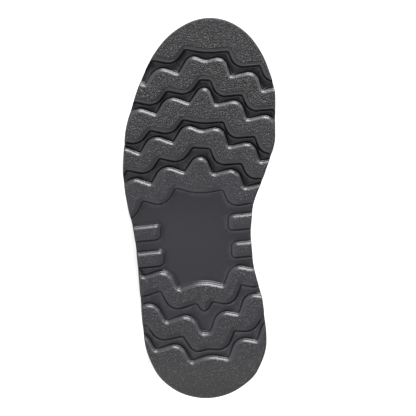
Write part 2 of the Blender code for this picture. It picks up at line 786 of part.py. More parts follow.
def build_moc_seam(parts):
    path, normals = [], []
    for turn in np.linspace(-1.0, 1.0, 35):
        share = abs(turn) ** 1.6
        x = SEAM_TOE - (SEAM_TOE - SEAM_BACK) * share
        reach = max((x - SEAM_SHOULDER) / (SEAM_TOE - SEAM_SHOULDER), 0.0)
        spread = SEAM_SPREAD * (1 - reach**2.6) ** (1 / 2.2) - SEAM_TAPER * max(SEAM_SHOULDER - x, 0.0)
        point, normal = front_point(way_of_top(x=x), math.copysign(max(spread, 1e-3), turn))
        path.append(point)
        normals.append(normal)
    base = CLEARANCE + 0.1
    top = base + SEAM_HEIGHT
    profile = ((-SEAM_HALF, base), (-0.8 * SEAM_HALF, base + 0.65 * SEAM_HEIGHT), (-0.3 * SEAM_HALF, top),
               (0.3 * SEAM_HALF, top), (0.8 * SEAM_HALF, base + 0.65 * SEAM_HEIGHT), (SEAM_HALF, base))
    return sweep("moc_seam", path, normals, profile, parts)


def eyelet_ways():
    start = way_of_top(x=THROAT_X - THROAT_ROUND * 0.85)
    end = way_of_top(z=SECTIONS[-2].top_z - 9.0)
    ways = np.linspace(start, end, 60)
    parts = section_at(ways)
    length = np.concatenate([[0.0], np.cumsum(np.hypot(np.diff(parts[2]), np.diff(parts[3])))])
    return np.interp(np.linspace(0.0, length[-1], EYELET_PAIRS), length, ways)


def build_eyelets(parts):
    lift = CLEARANCE + OVERLAY_LIFT + EYESTAY_THICKNESS + EYELET_TUBE + 0.5
    for row, way in enumerate(eyelet_ways(), start=1):
        for label, sign in (("lateral", -1), ("medial", 1)):
            point, normal = front_point(way, sign * (float(throat_half(way)) + EYELET_EDGE))
            bpy.ops.mesh.primitive_torus_add(major_radius=EYELET_RING * MM, minor_radius=EYELET_TUBE * MM,
                                             major_segments=9, minor_segments=4)
            eyelet = bpy.context.active_object
            eyelet.name = f"eyelet_{label}_{row}"
            for collection in eyelet.users_collection:
                collection.objects.unlink(eyelet)
            parts.objects.link(eyelet)
            turn = Vector((0, 0, 1)).rotation_difference(Vector(normal)).to_matrix().to_4x4()
            eyelet.data.transform(Matrix.Translation(Vector(point + normal * lift) * MM) @ turn)
            eyelet.matrix_world = Matrix.Identity(4)


def build_laces(parts, cutters):
    """Crossed lace bars over the throat, joined where they cross and where they reach the same eyelet."""
    lift = CLEARANCE + OVERLAY_LIFT + EYESTAY_THICKNESS + 2 * EYELET_TUBE + 1.1
    ways = eyelet_ways()
    half = LACE_WIDTH / 2
    runs = [("bar", 0, 0, 1)]
    for row in range(EYELET_PAIRS - 1):
        runs.append((f"left_{row}", row, row + 1, 1))
        runs.append((f"right_{row}", row, row + 1, -1))
    bars = []
    for name, low, high, sign in runs:
        path, normals = [], []
        over = {"bar": 0.5, "left": 1.0, "right": 0.0}[name.split("_")[0]] * LACE_OVER
        for share in np.linspace(0.0, 1.0, 7):
            way = ways[low] + (ways[high] - ways[low]) * share
            spread = sign * (float(throat_half(way)) + EYELET_EDGE) * (2 * share - 1)
            point, normal = front_point(way, spread if abs(spread) > 1e-3 else 1e-3)
            path.append(point + normal * (lift + over))
            normals.append(normal)
        profile = ((-half, 0.0), (-half, LACE_THICKNESS), (half, LACE_THICKNESS), (half, 0.0))
        home = cutters if bars else parts
        bars.append(sweep(f"lace_{name}" if bars else "laces", path, normals, profile, home))
    for bar in bars[1:]:
        cut(bars[0], bar, "UNION")
    return bars[0]


def add_material(name, colour, roughness):
    material = bpy.data.materials.new(name)
    material.use_nodes = True
    shader = material.node_tree.nodes["Principled BSDF"]
    shader.inputs["Base Color"].default_value = (*colour, 1.0)
    shader.inputs["Roughness"].default_value = roughness
    return material


def lay_down(pieces):
    """Rotate about the boot so that it rests on its outer side, toe to -X and sole facing -Y."""
    graph = bpy.context.evaluated_depsgraph_get()
    points = []
    for piece in pieces:
        mesh = piece.evaluated_get(graph).to_mesh()
        points.extend(vertex.co.copy() for vertex in mesh.vertices)
        piece.evaluated_get(graph).to_mesh_clear()
    hull = bmesh.new()
    for point in points:
        hull.verts.new(point)
    bmesh.ops.convex_hull(hull, input=hull.verts)
    hull.normal_update()
    balance = Vector(BALANCE) * MM
    floor = None
    for face in hull.faces:
        if face.normal.y > -0.5:
            continue
        corners = [vertex.co for vertex in face.verts]
        turns = []
        for first, second in zip(corners, corners[1:] + corners[:1]):
            along_x, along_z = second.x - first.x, second.z - first.z
            turns.append(along_x * (balance.z - first.z) - along_z * (balance.x - first.x))
        if all(turn >= 0 for turn in turns) or all(turn <= 0 for turn in turns):
            floor = face.normal.copy()
    hull.free()
    up = -floor
    right = -(Vector((1, 0, 0)) - up * up.x).normalized()
    away = up.cross(right)
    turn = Matrix((right, away, up)).to_4x4()
    turned = np.array([turn @ point for point in points])
    low, high = turned.min(axis=0), turned.max(axis=0)
    centre = (low + high) / 2
    return Matrix.Translation((-centre[0], -centre[1], -low[2])) @ turn


def main():
    for old in list(bpy.data.objects):
        bpy.data.objects.remove(old)
    parts = bpy.data.collections.new("parts")
    cutters = bpy.data.collections.new("cutters")
    bpy.context.scene.collection.children.link(parts)
    bpy.context.scene.collection.children.link(cutters)

    build_outsole(parts, cutters)
    build_welt(parts)
    build_insole(parts)
    build_upper(parts)
    build_tongue(parts)
    build_eyestay("eyestay_lateral", 0, parts)
    build_eyestay("eyestay_medial", 1, parts)
    build_counter(parts)
    build_moc_seam(parts)
    build_eyelets(parts)
    build_laces(parts, cutters)

    rubber = add_material("rubber", (0.035, 0.035, 0.037), 0.6)
    leather = add_material("leather", (0.055, 0.027, 0.013), 0.45)
    lining = add_material("lining", (0.16, 0.12, 0.085), 0.8)
    metal = add_material("metal", (0.30, 0.21, 0.10), 0.35)
    cord = add_material("cord", (0.05, 0.03, 0.018), 0.8)
    welt = add_material("welt", (0.025, 0.016, 0.011), 0.55)
    for piece in parts.objects:
        name = piece.name
        if name == "outsole":
            material = rubber
        elif name == "insole":
            material = lining
        elif name == "welt":
            material = welt
        elif name.startswith("eyelet_"):
            material = metal
        elif name == "laces":
            material = cord
        else:
            material = leather
        piece.data.materials.clear()
        piece.data.materials.append(material)

    bpy.context.view_layer.update()
    pose = lay_down(list(parts.objects))
    boot = bpy.data.objects.new("boot", None)
    bpy.context.scene.collection.objects.link(boot)
    boot.matrix_world = pose
    for piece in list(parts.objects) + list(cutters.objects):
        piece.parent = boot
    bpy.context.view_layer.update()


main()
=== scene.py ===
"""Looks of the moc toe work boot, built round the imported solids.

Shapes are worked out in the upright boot's own millimetres: X from the heel to the toe, Y from the outer side
to the inner side, Z up from the floor under the tread. The pose from the frame then lays them down.
"""

import json
import math
from collections import namedtuple

import bmesh
import bpy
import numpy as np
from mathutils import Matrix, Vector
from mathutils.geometry import delaunay_2d_cdt


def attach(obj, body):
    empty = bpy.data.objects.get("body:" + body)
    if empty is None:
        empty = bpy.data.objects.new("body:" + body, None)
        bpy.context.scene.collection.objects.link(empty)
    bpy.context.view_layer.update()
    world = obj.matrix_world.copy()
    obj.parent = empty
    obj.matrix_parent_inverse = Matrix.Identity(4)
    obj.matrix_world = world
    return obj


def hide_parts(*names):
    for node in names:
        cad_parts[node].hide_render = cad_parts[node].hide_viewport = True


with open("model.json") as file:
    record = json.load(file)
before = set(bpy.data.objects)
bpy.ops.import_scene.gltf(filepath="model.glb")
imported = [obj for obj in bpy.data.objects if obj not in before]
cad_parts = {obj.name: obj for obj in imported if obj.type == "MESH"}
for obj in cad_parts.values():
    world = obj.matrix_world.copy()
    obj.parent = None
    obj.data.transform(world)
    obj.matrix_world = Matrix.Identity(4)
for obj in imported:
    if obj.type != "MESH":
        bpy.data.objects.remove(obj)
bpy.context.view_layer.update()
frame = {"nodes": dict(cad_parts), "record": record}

MM = 0.001

# Least height over the floor, where soft edges are pressed flat
REST_GAP = 0.02


def table(columns, *rows):
    """Rows of values with named columns."""
    kind = namedtuple("Row", columns)
    return tuple(kind(*row) for row in rows)


# Places of the two mounts on the upright boot
HEEL_SPOT = Vector((21.0, 2.0, 0.0))
FOREFOOT_SPOT = Vector((176.0, -5.0, 0.0))

# Camera: the point of the sole in the middle of the picture, and the width of the picture at the tread
VIEW_CENTRE = (148.7, 1.6, 0.0)
VIEW_WIDTH = 324.6
VIEW_DISTANCE = 2400.0
SENSOR_WIDTH = 36.0

# Outsole
SOLE_LENGTH = 298.0
SIDE_FLARE = 0.12
GROOVE_DEPTH = 5.0
LUG_CORNER = 8.0
NOTCH_CORNER = 2.0
LUG_CORNER_STEPS = 7
ARC_HANDLE = 0.55
CORNER_SHARE = 0.45
LIP_HEIGHT = 4.2
LIP_PROUD = 1.0
OUTLINE_STATIONS = 240
EDGE_SPACING = 1.3
FILL_SPACING = 4.0
FILL_HALF = 70.0
FILL_MARGIN = 1.0
EDGE_OVERRUN = 1.0
PLAN_TOLERANCE = 0.06
DISTANCE_BATCH = 2000
RIM_HEIGHT = 0.9
RIM_WIDTH = 1.4
RIM_INSETS = (0.0, 0.12, 0.4, 0.85, 1.4, 2.2)
END_INSET = 0.2
END_FADE = 5.0

# Paint on the rubber: grit, painted shade in the grooves and the waist, and dust. A pair is where a ramp
# starts, and its length, which may be negative.
GRIT_EDGE = (1.9, 0.8)
GRIT_RIM = (0.3, 1.2)
SIDE_GRIT = 0.15
# Painted shade in the grooves and the waist: where it starts from a lug's edge, how it grows toward the toe,
# and its strengths at the heel and in the waist
PAINTED_SHADE_EDGE = (-0.4, 1.2)
PAINTED_SHADE_FRONT = (110.0, 60.0)
HEEL_PAINTED_SHADE = 0.08
WAIST_PAINTED_SHADE = 0.16
WAIST_BACK_PAINTED_SHADE = 0.1
WAIST_BACK_RAMP = (130.0, -30.0)
DUST_RAMP = (55.0, -50.0)

# Stepped chevron of the tread
STEP_PERIOD = 25.2
STEP_STEEP_OUTER = 7.8
STEP_STEEP_INNER = 5.8
HEEL_STEEP_OUTER = 6.5
HEEL_STEEP_INNER = 8.0
STEP_NET_FALL = 10.0
HEEL_NET_FALL = 11.6
TIP_LENGTH = 9.0
THUMB_DROP = 3.0
PATTERN_REACH = 82.0
PATTERN_MARGIN = 4.0
FLAT_PEAK = 9.0
HEEL_STRETCH_LATERAL = 1.08
HEEL_STRETCH_MEDIAL = 0.93

# Waist bars
BAR_WIDTH = 10.8
BAR_SLANT = 0.1
BAR_LENGTH = 60.0
BAR_CORNER = 2.6
BAR_PIVOT = 10.0

OUTLINE = table(
    "x lateral medial",
    (0.0, 0.0, 0.0), (8.0, -26.5, 26.3), (22.0, -39.8, 40.5), (45.0, -48.1, 47.4),
    (75.0, -51.0, 44.6), (105.0, -53.5, 37.3), (130.0, -56.6, 35.3), (150.0, -61.2, 37.0),
    (175.0, -64.9, 45.8), (205.0, -63.4, 54.2), (235.0, -55.8, 54.3), (260.0, -46.0, 48.1),
    (280.0, -32.9, 37.2), (292.0, -17.9, 23.9), (298.0, 3.2, 3.2),
)

HEIGHTS = table(
    "x tread seat",
    (0.0, 2.5, 37.8), (14.0, 0.0, 37.5), (45.0, 0.0, 36.8), (80.0, 0.0, 34.6),
    (115.0, 0.0, 30.0), (150.0, 0.0, 24.0), (180.0, 0.0, 20.0), (202.0, 0.0, 18.6),
    (235.0, 2.2, 18.9), (265.0, 6.2, 21.4), (298.0, 12.5, 27.0),
)

TREAD_AXIS = table(
    "x y",
    (0.0, 5.4), (45.0, 1.3), (90.0, -3.1), (150.0, -6.4), (180.0, -5.4), (205.0, -3.8),
    (250.0, -1.4), (298.0, 0.8),
)

# A stepped edge: its place along the sole, the distance of its first step from the tread axis on the outer
# and the inner side, and its rise between two falls. A groove or the waist lies between two such edges.
Edge = namedtuple("Edge", "place outer inner rise")
GROOVES = table(
    "turn front back",
    (-1, Edge(273.4, 16.6, 18.3, 2.8), Edge(268.0, 12.0, 14.5, 5.6)),
    (-1, Edge(249.8, 3.9, 5.5, 2.8), Edge(245.2, 2.6, 3.6, 5.6)),
    (-1, Edge(218.0, 15.4, 17.2, 2.8), Edge(213.4, 13.2, 15.8, 5.6)),
    (-1, Edge(196.6, 6.4, 8.2, 2.8), Edge(191.2, 3.2, 4.6, 5.6)),
    (1, Edge(59.8, -2.0, -1.0, 4.6), Edge(51.2, 3.6, 3.9, 4.8)),
    (1, Edge(37.6, 10.2, 14.6, 2.4), Edge(29.4, 13.4, 17.0, 4.6)),
)
WAIST_FRONT = Edge(164.8, 18.2, 20.0, 4.0)
WAIST_BACK = Edge(86.4, 17.6, 18.8, 4.8)
BARS = table(
    "x inner_end",
    (129.4, -36.4), (108.9, -33.7), (138.4, 18.3), (117.0, 20.9),
)

# Cut through a lug's edge: the distance inside the edge, and the depth below the lug's top
LUG_EDGE = table(
    "inside depth",
    (-2.1, 5.0), (-1.7, 4.88), (-1.4, 4.5), (-1.15, 3.7), (-1.0, 2.9), (-0.8, 2.3),
    (-0.1, 1.62), (0.1, 1.5), (0.5, 1.38), (0.7, 1.24), (1.6, 0.42), (1.9, 0.2), (2.3, 0.05),
    (2.8, 0.0),
)

# Strength of the moulded grit along the sole, which also scales its painted glints and the painted shade in
# its pits
GRIT = table(
    "x strength",
    (0.0, 0.42), (60.0, 0.55), (165.0, 0.45), (190.0, 0.65), (220.0, 0.85), (250.0, 1.3),
    (275.0, 1.4), (298.0, 1.4),
)

# Side wall above the grooves: share of its height, lift, and the inset as a length and a share of the flare
SIDE_LEVELS = table(
    "share lift inset flared",
    (0.0, GROOVE_DEPTH + 0.8, 0.3, 0.0),
    (0.5, 0.0, 0.45, 0.42),
    (1.0, -LIP_HEIGHT - 1.2, 0.65, 0.83),
    (1.0, -LIP_HEIGHT - 0.8, 0.9, 0.85),
    (1.0, -LIP_HEIGHT - 0.3, 0.9, 0.9),
    (1.0, -LIP_HEIGHT, 0.5 - LIP_PROUD, 0.97),
    (1.0, -LIP_HEIGHT + 0.5, 0.6 - LIP_PROUD, 1.0),
    (1.0, -1.0, 0.6 - LIP_PROUD, 1.0),
    (1.0, -0.35, 0.8 - LIP_PROUD, 1.0),
    (1.0, 0.0, 1.4 - LIP_PROUD, 1.0),
)

# Upper
CLEARANCE = 0.3
WALL = 2.2
WELT_MARGIN_TOE = 6.5
WELT_MARGIN_HEEL = 5.0
WELT_RAMP = (60.0, 110.0)
WELT_SETBACK = 0.5
WELT_TUCK = 1.1
WELT_STATIONS = 160
WELT_THICKNESS = 3.5
AXIS_BOW = 5.0
SIDE_BULGE = 0.045
BULGE_START = 4.5
BULGE_RISE = 20.0
ANKLE_RISE = 52.0
ANKLE_FRONT = 188.0
ANKLE_BACK = 105.0
HEEL_RAMP = (120.0, -80.0)
WALL_RAMP = (0.5, 0.4)
HEEL_ROUND = 47.0
BACK_ANGLE_STEP = 55.0
FOOT_ANGLE_STEP = 140.0
COLLAR_BACK = 174.0
SKIN_COLUMNS = 23
SHOULDER_TURN = 0.7
QUARTER_TOP = 154.0
QUARTER_LOW = 116.0
QUARTER_CURVE = 1.4
QUARTER_STEP = 0.9
QUARTER_FADE = 14.0
QUARTER_ROUND = 0.6
QUARTER_TUCK = 0.4
COLLAR_PUFF = 1.1
COLLAR_BAND = 25.0
COLLAR_RAMP = (0.46, 0.16)
COLLAR_SINK = 0.25
QUILT_DEPTH = 0.4
QUILT_WIDTH = 1.6
BINDING_RADIUS = 1.7
BINDING_STRETCH = 1.25
BINDING_SHIFT = 0.6
WAVE_HEIGHT = 0.12
WAVES = ((7.1, 3.0), (1.3, 9.0))
CREASE_FADE = 0.3
CREASE_FOOT = 100.0
CREASE_SHAFT_STEP = BACK_ANGLE_STEP * 1.6

# Throat, tongue, overlays and eyelets
THROAT_X = 190.0
THROAT_ROUND = 16.0
THROAT_HALF_FRONT = 11.0
THROAT_HALF_COLLAR = 16.0
TONGUE_THICKNESS = 3.0
TONGUE_DROP = 1.7
TONGUE_HALF = 33.0
TONGUE_FRONT = 205.0
TONGUE_RISE = 11.0
TONGUE_FRONT_HALF = 17.0
TONGUE_WIDENING = 0.45
TONGUE_ROW = (0.45, 0.975, 0.06)
OVERLAY_LIFT = 0.75
EYESTAY_THICKNESS = 1.5
EYESTAY_WIDTH = 21.0
EYESTAY_CORNER = 0.2
EYESTAY_EDGE = 1.2
EYESTAY_NARROWING = 0.8
EYESTAY_START = THROAT_X - THROAT_ROUND * 0.55
EYESTAY_END = 0.09
COUNTER_THICKNESS = 1.5
COUNTER_BACK = 98.0
COUNTER_FRONT = 88.0
COUNTER_SWEEP = 46.0
COUNTER_CURVE = 1.6
COUNTER_FALL = 0.25
COUNTER_GAP = WELT_THICKNESS + 2.0
EYELET_PAIRS = 7
EYELET_RING = 3.3
EYELET_TUBE = 0.9
EYELET_EDGE = 8.5
EYELET_STEPS = 28
EYELET_FACE = OVERLAY_LIFT + EYESTAY_THICKNESS
EYELET_LIFT = CLEARANCE + EYELET_FACE + EYELET_TUBE + 0.5
EYELET_START = THROAT_X - THROAT_ROUND * 0.85
EYELET_DROP = 9.0

# Lace: its heights over the upper's face where it is over an eyelet, under the wall, on the tongue and at the
# throat's edge, and its shares of the way from an eyelet to the next one across
LACE_WIDTH = 5.0
LACE_THICKNESS = 1.5
LACE_REST = 0.1
LACE_CROSSING = 1.5
LACE_OVER = EYELET_LIFT + EYELET_TUBE + 0.9
LACE_DIP = 2.6
LACE_UNDER = -(WALL + 0.85)
LACE_ON_TONGUE = LACE_THICKNESS * 0.55 - WALL - TONGUE_DROP
LACE_BROW = CLEARANCE + EYELET_FACE + LACE_THICKNESS * 0.6
LACE_SAG = 0.8
LACE_BAR_INSET = 1.5
LACE_TURN = 1.2
LACE_HIDDEN = 2.0
LACE_BROW_LEAD = 0.5
LACE_SHARES = (0.06, 0.9)
LACE_STOPS = 15
LACE_SPACING = 1.0
LACE_NORMAL_LENGTH = 40.0
LACE_SQUARENESS = (0.6, 0.8)
LACE_STEER = 0.25
LACE_PINCH = 0.32
LACE_STEEP = (0.3, 0.5)
LEAST_OFFSET = 1e-3

# Moc seam
SEAM_HALF = 2.6
SEAM_HEIGHT = 2.6
SEAM_TOE = 280.5
SEAM_SHOULDER = 208.0
SEAM_SPREAD = 34.0
SEAM_BACK = 184.0
SEAM_TAPER = 0.2
SEAM_TOE_CURVE = 2.6
SEAM_TOE_SQUARE = 1 / 2.2
SEAM_GATHER = 1.6
SEAM_BASE = -1.4
SEAM_FOOT = 0.3
SEAM_NOTCH = 0.66
SEAM_TOP = CLEARANCE + 0.1 + SEAM_HEIGHT
SEAM_SIDE = ((0.92, 0.55), (0.72, 0.85), (0.42, 1.0), (0.16, 0.93))
SEAM_WRAP = ((1.25, 0.1), (1.12, 0.5), (0.8, 0.9), (0.4, 1.06))
SEAM_WRAP_LIFT = 0.25
PUCKER_HEIGHT = 0.30
PUCKER_SINK = 0.25
PUCKER_OFFSET = 3.4
PUCKER_WIDTH = 3.2
PUCKER_RAMP = (SEAM_BACK, 40.0)
PUCKER_REACH = 6.0

# Thread: length, gap and radius of a stitch
Thread = namedtuple("Thread", "length gap radius")
FINE_THREAD = Thread(2.7, 0.9, 0.42)
WELT_THREAD = Thread(4.6, 1.5, 0.6)
SEAM_PITCH = 6.4
SEAM_THREAD = 0.72
STITCH_INSET = 2.3
STITCH_ROW_GAP = 2.4
STITCH_SINK = (-0.9, -0.1, 0.25, -0.1, -0.9)
STITCH_TAPER = 0.6

# Sections of the upper from the toe to the collar: straight cuts in the side view, from the feather line to
# the top line. Widest is the share of the cut where it begins to close, and shoulder how square it closes.
SECTIONS = table(
    "reach top_x top_z widest shoulder",
    (289.8, 289.8, 50.0, 0.30, 2.8),
    (287.0, 287.0, 57.0, 0.30, 2.8),
    (280.0, 280.0, 62.0, 0.28, 2.8),
    (266.0, 266.0, 66.0, 0.25, 2.8),
    (246.0, 247.0, 70.0, 0.22, 2.6),
    (220.0, 224.0, 76.5, 0.20, 2.4),
    (188.0, 203.0, 85.0, 0.20, 2.1),
    (152.0, 185.0, 94.0, 0.22, 1.9),
    (112.0, 167.0, 105.0, 0.30, 1.9),
    (68.0, 151.0, 116.5, 0.40, 2.0),
    (30.0, 141.5, 125.0, 0.45, 2.1),
    (9.4, 136.0, 132.0, 0.48, 2.1),
    (-20.0, 132.0, 141.0, 0.50, 2.2),
    (-60.0, 129.0, 155.5, 0.50, 2.2),
    (-100.0, 127.5, 171.5, 0.50, 2.3),
    (-127.0, 127.0, 186.0, 0.50, 2.3),
    (-150.0, 128.0, 201.0, 0.50, 2.3),
)

# Back line and half widths of the shaft at each height
SHAFT = table(
    "z back lateral medial",
    (37.0, 0.0, 38.0, 37.0),
    (43.0, 0.0, 38.0, 37.0),
    (62.0, -2.8, 38.5, 38.0),
    (82.0, -1.0, 37.0, 37.0),
    (108.0, 3.6, 36.0, 36.0),
    (140.0, 3.0, 37.5, 37.0),
    (168.0, 0.6, 40.5, 39.5),
    (200.0, -1.5, 41.5, 40.5),
)

# Cut through the welt: share of its width from the outer edge, extra inset, and height over the seat
WELT_TOP = CLEARANCE + WELT_THICKNESS
WELT_CHANNEL = 0.45
WELT_STITCH_SINK = 0.15
WELT_PROFILE = table(
    "share extra lift",
    (1.0, 0.0, CLEARANCE), (0.0, 0.3, CLEARANCE), (0.0, 0.0, CLEARANCE + 0.5),
    (0.0, 0.0, WELT_TOP - 0.8), (0.0, 0.25, WELT_TOP - 0.25), (0.0, 0.8, WELT_TOP),
    (0.3, 0.0, WELT_TOP), (0.38, 0.0, WELT_TOP - 0.4), (0.52, 0.0, WELT_TOP - 0.4),
    (0.6, 0.0, WELT_TOP), (1.0, 0.0, WELT_TOP),
)

# Creases in the leather: place along the boot, drift from the top line down, start and end between the top
# line (0) and the welt (1), depth and width
CREASES = table(
    "reach drift start end depth width",
    (216.0, 10.0, -0.2, 0.72, 0.55, 5.0),
    (203.0, 14.0, -0.2, 0.80, 0.45, 4.5),
    (190.0, 16.0, 0.20, 0.85, 0.35, 4.5),
    (60.0, -40.0, 0.30, 0.85, 0.55, 6.0),
    (24.0, -30.0, 0.32, 0.80, 0.60, 6.0),
    (-22.0, -14.0, 0.35, 0.92, 0.45, 6.0),
)


def column(rows, name):
    return np.array([getattr(row, name) for row in rows], float)


def smooth(at, keys, values):
    """Monotone cubic curve through the points of a table, flat where two rows agree."""
    keys, values = np.asarray(keys, float), np.asarray(values, float)
    if keys[0] > keys[-1]:
        keys, values = keys[::-1], values[::-1]
    gaps = np.diff(keys)
    slopes = np.diff(values) / gaps
    before, after = slopes[:-1], slopes[1:]
    rising = before * after > 0
    total = np.where(rising, before + after, 1.0)
    inner = np.where(rising, 2 * before * after / total, 0.0)
    tangents = np.concatenate(([slopes[0]], inner, [slopes[-1]]))
    at = np.clip(np.asarray(at, float), keys[0], keys[-1])
    cell = np.clip(np.searchsorted(keys, at, side="right") - 1, 0, len(gaps) - 1)
    width = gaps[cell]
    share = (at - keys[cell]) / width
    square, cube = share**2, share**3
    start = (2 * cube - 3 * square + 1) * values[cell]
    leaving = (cube - 2 * square + share) * width * tangents[cell]
    end = (3 * square - 2 * cube) * values[cell + 1]
    arriving = (cube - square) * width * tangents[cell + 1]
    return start + leaving + end + arriving


def ramp(value, start, length):
    """Smooth rise from 0 at the start to 1 a length further on."""
    share = np.clip((value - start) / length, 0.0, 1.0)
    return share * share * (3 - 2 * share)


def unit(vectors):
    return vectors / np.maximum(np.linalg.norm(vectors, axis=-1, keepdims=True), 1e-9)


def line_length(path):
    """Length along a line of points at each of them."""
    return np.concatenate([[0.0], np.cumsum(np.linalg.norm(np.diff(path, axis=0), axis=1))])


def along_line(line, length, at):
    """Points of a line at given lengths along it."""
    return np.stack([np.interp(at, length, values) for values in line.T], axis=1)


def end_angle(x, start, end):
    """Angle that runs evenly round both rounded ends of an outline."""
    return np.arccos(np.clip(1 - 2 * (np.asarray(x, float) - start) / (end - start), -1.0, 1.0))


def tread_height(x):
    return smooth(x, column(HEIGHTS, "x"), column(HEIGHTS, "tread"))


def seat_height(x):
    return smooth(x, column(HEIGHTS, "x"), column(HEIGHTS, "seat"))


def flare_at(x):
    return SIDE_FLARE * (seat_height(x) - tread_height(x))


def boot_pose(record):
    """Where the frame has the upright boot, from its two mounts."""
    spots = {mount["name"]: mount for mount in record["mounts"]}
    heel = Vector(spots["heel_tread"]["pos_m"])
    forefoot = Vector(spots["forefoot_tread"]["pos_m"])
    up_there = -Vector(spots["heel_tread"]["axis"])
    up_here = Vector((0.0, 0.0, 1.0))
    along_there = (forefoot - heel).normalized()
    along_here = (FOREFOOT_SPOT - HEEL_SPOT).normalized()
    here = Matrix((along_here, up_here.cross(along_here), up_here)).transposed()
    there = Matrix((along_there, up_there.cross(along_there), up_there)).transposed()
    turn = there @ here.inverted()
    return Matrix.Translation(heel - turn @ (HEEL_SPOT * MM)) @ turn.to_4x4()


POSE = boot_pose(frame["record"])
TURN = np.array(POSE.to_3x3())
MOVE = np.array(POSE.translation)


def to_world(points):
    """Points of the upright boot in millimetres, as points of the frame in metres."""
    return np.asarray(points, float) * MM @ TURN.T + MOVE


def add_piece(name, points, faces, materials, slots=None, weld=None):
    """Smooth mesh piece from points in boot millimetres, pressed flat at the floor, on the one body."""
    mesh = bpy.data.meshes.new(name)
    placed = to_world(points)
    placed[:, 2] = np.maximum(placed[:, 2], REST_GAP * MM)
    mesh.from_pydata(placed.tolist(), [], [tuple(map(int, face)) for face in faces])
    for material in materials:
        mesh.materials.append(material)
    if slots is not None:
        mesh.polygons.foreach_set("material_index", np.asarray(slots, np.int32))
    work = bmesh.new()
    work.from_mesh(mesh)
    if weld:
        bmesh.ops.remove_doubles(work, verts=work.verts, dist=weld * MM)
    bmesh.ops.recalc_face_normals(work, faces=work.faces)
    for face in work.faces:
        face.smooth = True
    work.to_mesh(mesh)
    work.free()
    piece = bpy.data.objects.new(name, mesh)
    bpy.context.scene.collection.objects.link(piece)
    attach(piece, "root")
    return piece


def add_values(piece, name, values):
    """Number at each vertex, for the piece's material."""
    layer = piece.data.attributes.new(name, "FLOAT", "POINT")
    layer.data.foreach_set("value", np.asarray(values, np.float32))


# Materials

# Sockets of a mix node that blends colours: share and two colours
BLEND_INPUTS = (0, 6, 7)
BLEND_OUTPUT = 2


class Nodes:
    """Shader nodes of a material or the world."""

    def __init__(self, tree):
        self.tree = tree

    def put(self, value, socket):
        """Give a socket a number, a colour or the output of another node."""
        if isinstance(value, bpy.types.NodeSocket):
            self.tree.links.new(value, socket)
        else:
            socket.default_value = (*value, 1.0) if isinstance(value, tuple) else value

    def add(self, kind, settings, *inputs, **named):
        """Node with settings, and inputs by their order or name."""
        node = self.tree.nodes.new(kind)
        for key, value in settings.items():
            setattr(node, key, value)
        for key, value in (*enumerate(inputs), *named.items()):
            self.put(value, node.inputs[key])
        return node

    def maths(self, operation, *values):
        return self.add("ShaderNodeMath", {"operation": operation}, *values).outputs[0]

    def times(self, first, second):
        return self.maths("MULTIPLY", first, second)

    def spread(self, value, low, high, to_low=0.0, to_high=1.0):
        return self.add("ShaderNodeMapRange", {"clamp": True}, value, low, high, to_low, to_high).outputs[0]


class Look(Nodes):
    """Material in the making: its shader, and the nodes that drive colour, roughness and bump."""

    def __init__(self, name, colour, roughness, **levels):
        self.material = bpy.data.materials.new(name)
        self.material.use_nodes = True
        super().__init__(self.material.node_tree)
        self.shader = self.tree.nodes["Principled BSDF"]
        self.place = self.add("ShaderNodeTexCoord", {}).outputs["Object"]
        self.set(Base_Color=colour, Roughness=roughness, **levels)

    def set(self, **levels):
        """Give the shader's sockets values, by their names with an underscore for a space."""
        for key, value in levels.items():
            self.put(value, self.shader.inputs[key.replace("_", " ")])

    def painted(self, name):
        return self.add("ShaderNodeAttribute", {"attribute_name": name}).outputs["Fac"]

    def noise(self, scale, detail=4.0, roughness=0.55):
        inputs = {"Vector": self.place, "Scale": scale, "Detail": detail, "Roughness": roughness}
        return self.add("ShaderNodeTexNoise", {}, **inputs).outputs["Fac"]

    def cells(self, scale, feature="F1"):
        node = self.add("ShaderNodeTexVoronoi", {"feature": feature}, Vector=self.place, Scale=scale)
        return node.outputs["Distance"]

    def blend(self, share, first, second):
        node = self.add("ShaderNodeMix", {"data_type": "RGBA"})
        for item, value in zip(BLEND_INPUTS, (share, first, second)):
            self.put(value, node.inputs[item])
        return node.outputs[BLEND_OUTPUT]

    def finished(self, colour, roughness, height, strength, distance):
        """The material, with its colour, its roughness and a bump that is a distance high."""
        bump = self.add("ShaderNodeBump", {}, Height=height, Strength=strength, Distance=distance * MM)
        self.set(Base_Color=colour, Roughness=roughness, Normal=bump.outputs[0])
        return self.material


RUBBER_DARK = (0.0184, 0.0182, 0.0244)
RUBBER_LIGHT = (0.0242, 0.0239, 0.0314)
RUBBER_DUST = (0.052, 0.046, 0.04)
# Colour of the painted shade in the grooves and the waist
RUBBER_PAINTED_SHADE = (0.004, 0.004, 0.0055)
# Painted shade in the grit's pits, and a pale painted glint on its raised beads
RUBBER_PIT_SHADE = (0.006, 0.006, 0.007)
RUBBER_PAINTED_GLINT = (0.104, 0.104, 0.118)
LEATHER_DARK = (0.032, 0.0135, 0.006)
LEATHER_LIGHT = (0.092, 0.041, 0.0175)
LACE_DARK = (0.016, 0.009, 0.006)
LACE_LIGHT = (0.06, 0.035, 0.02)
LACE_FLECK = (0.28, 0.18, 0.08)
BRAID_TURN = 3.6


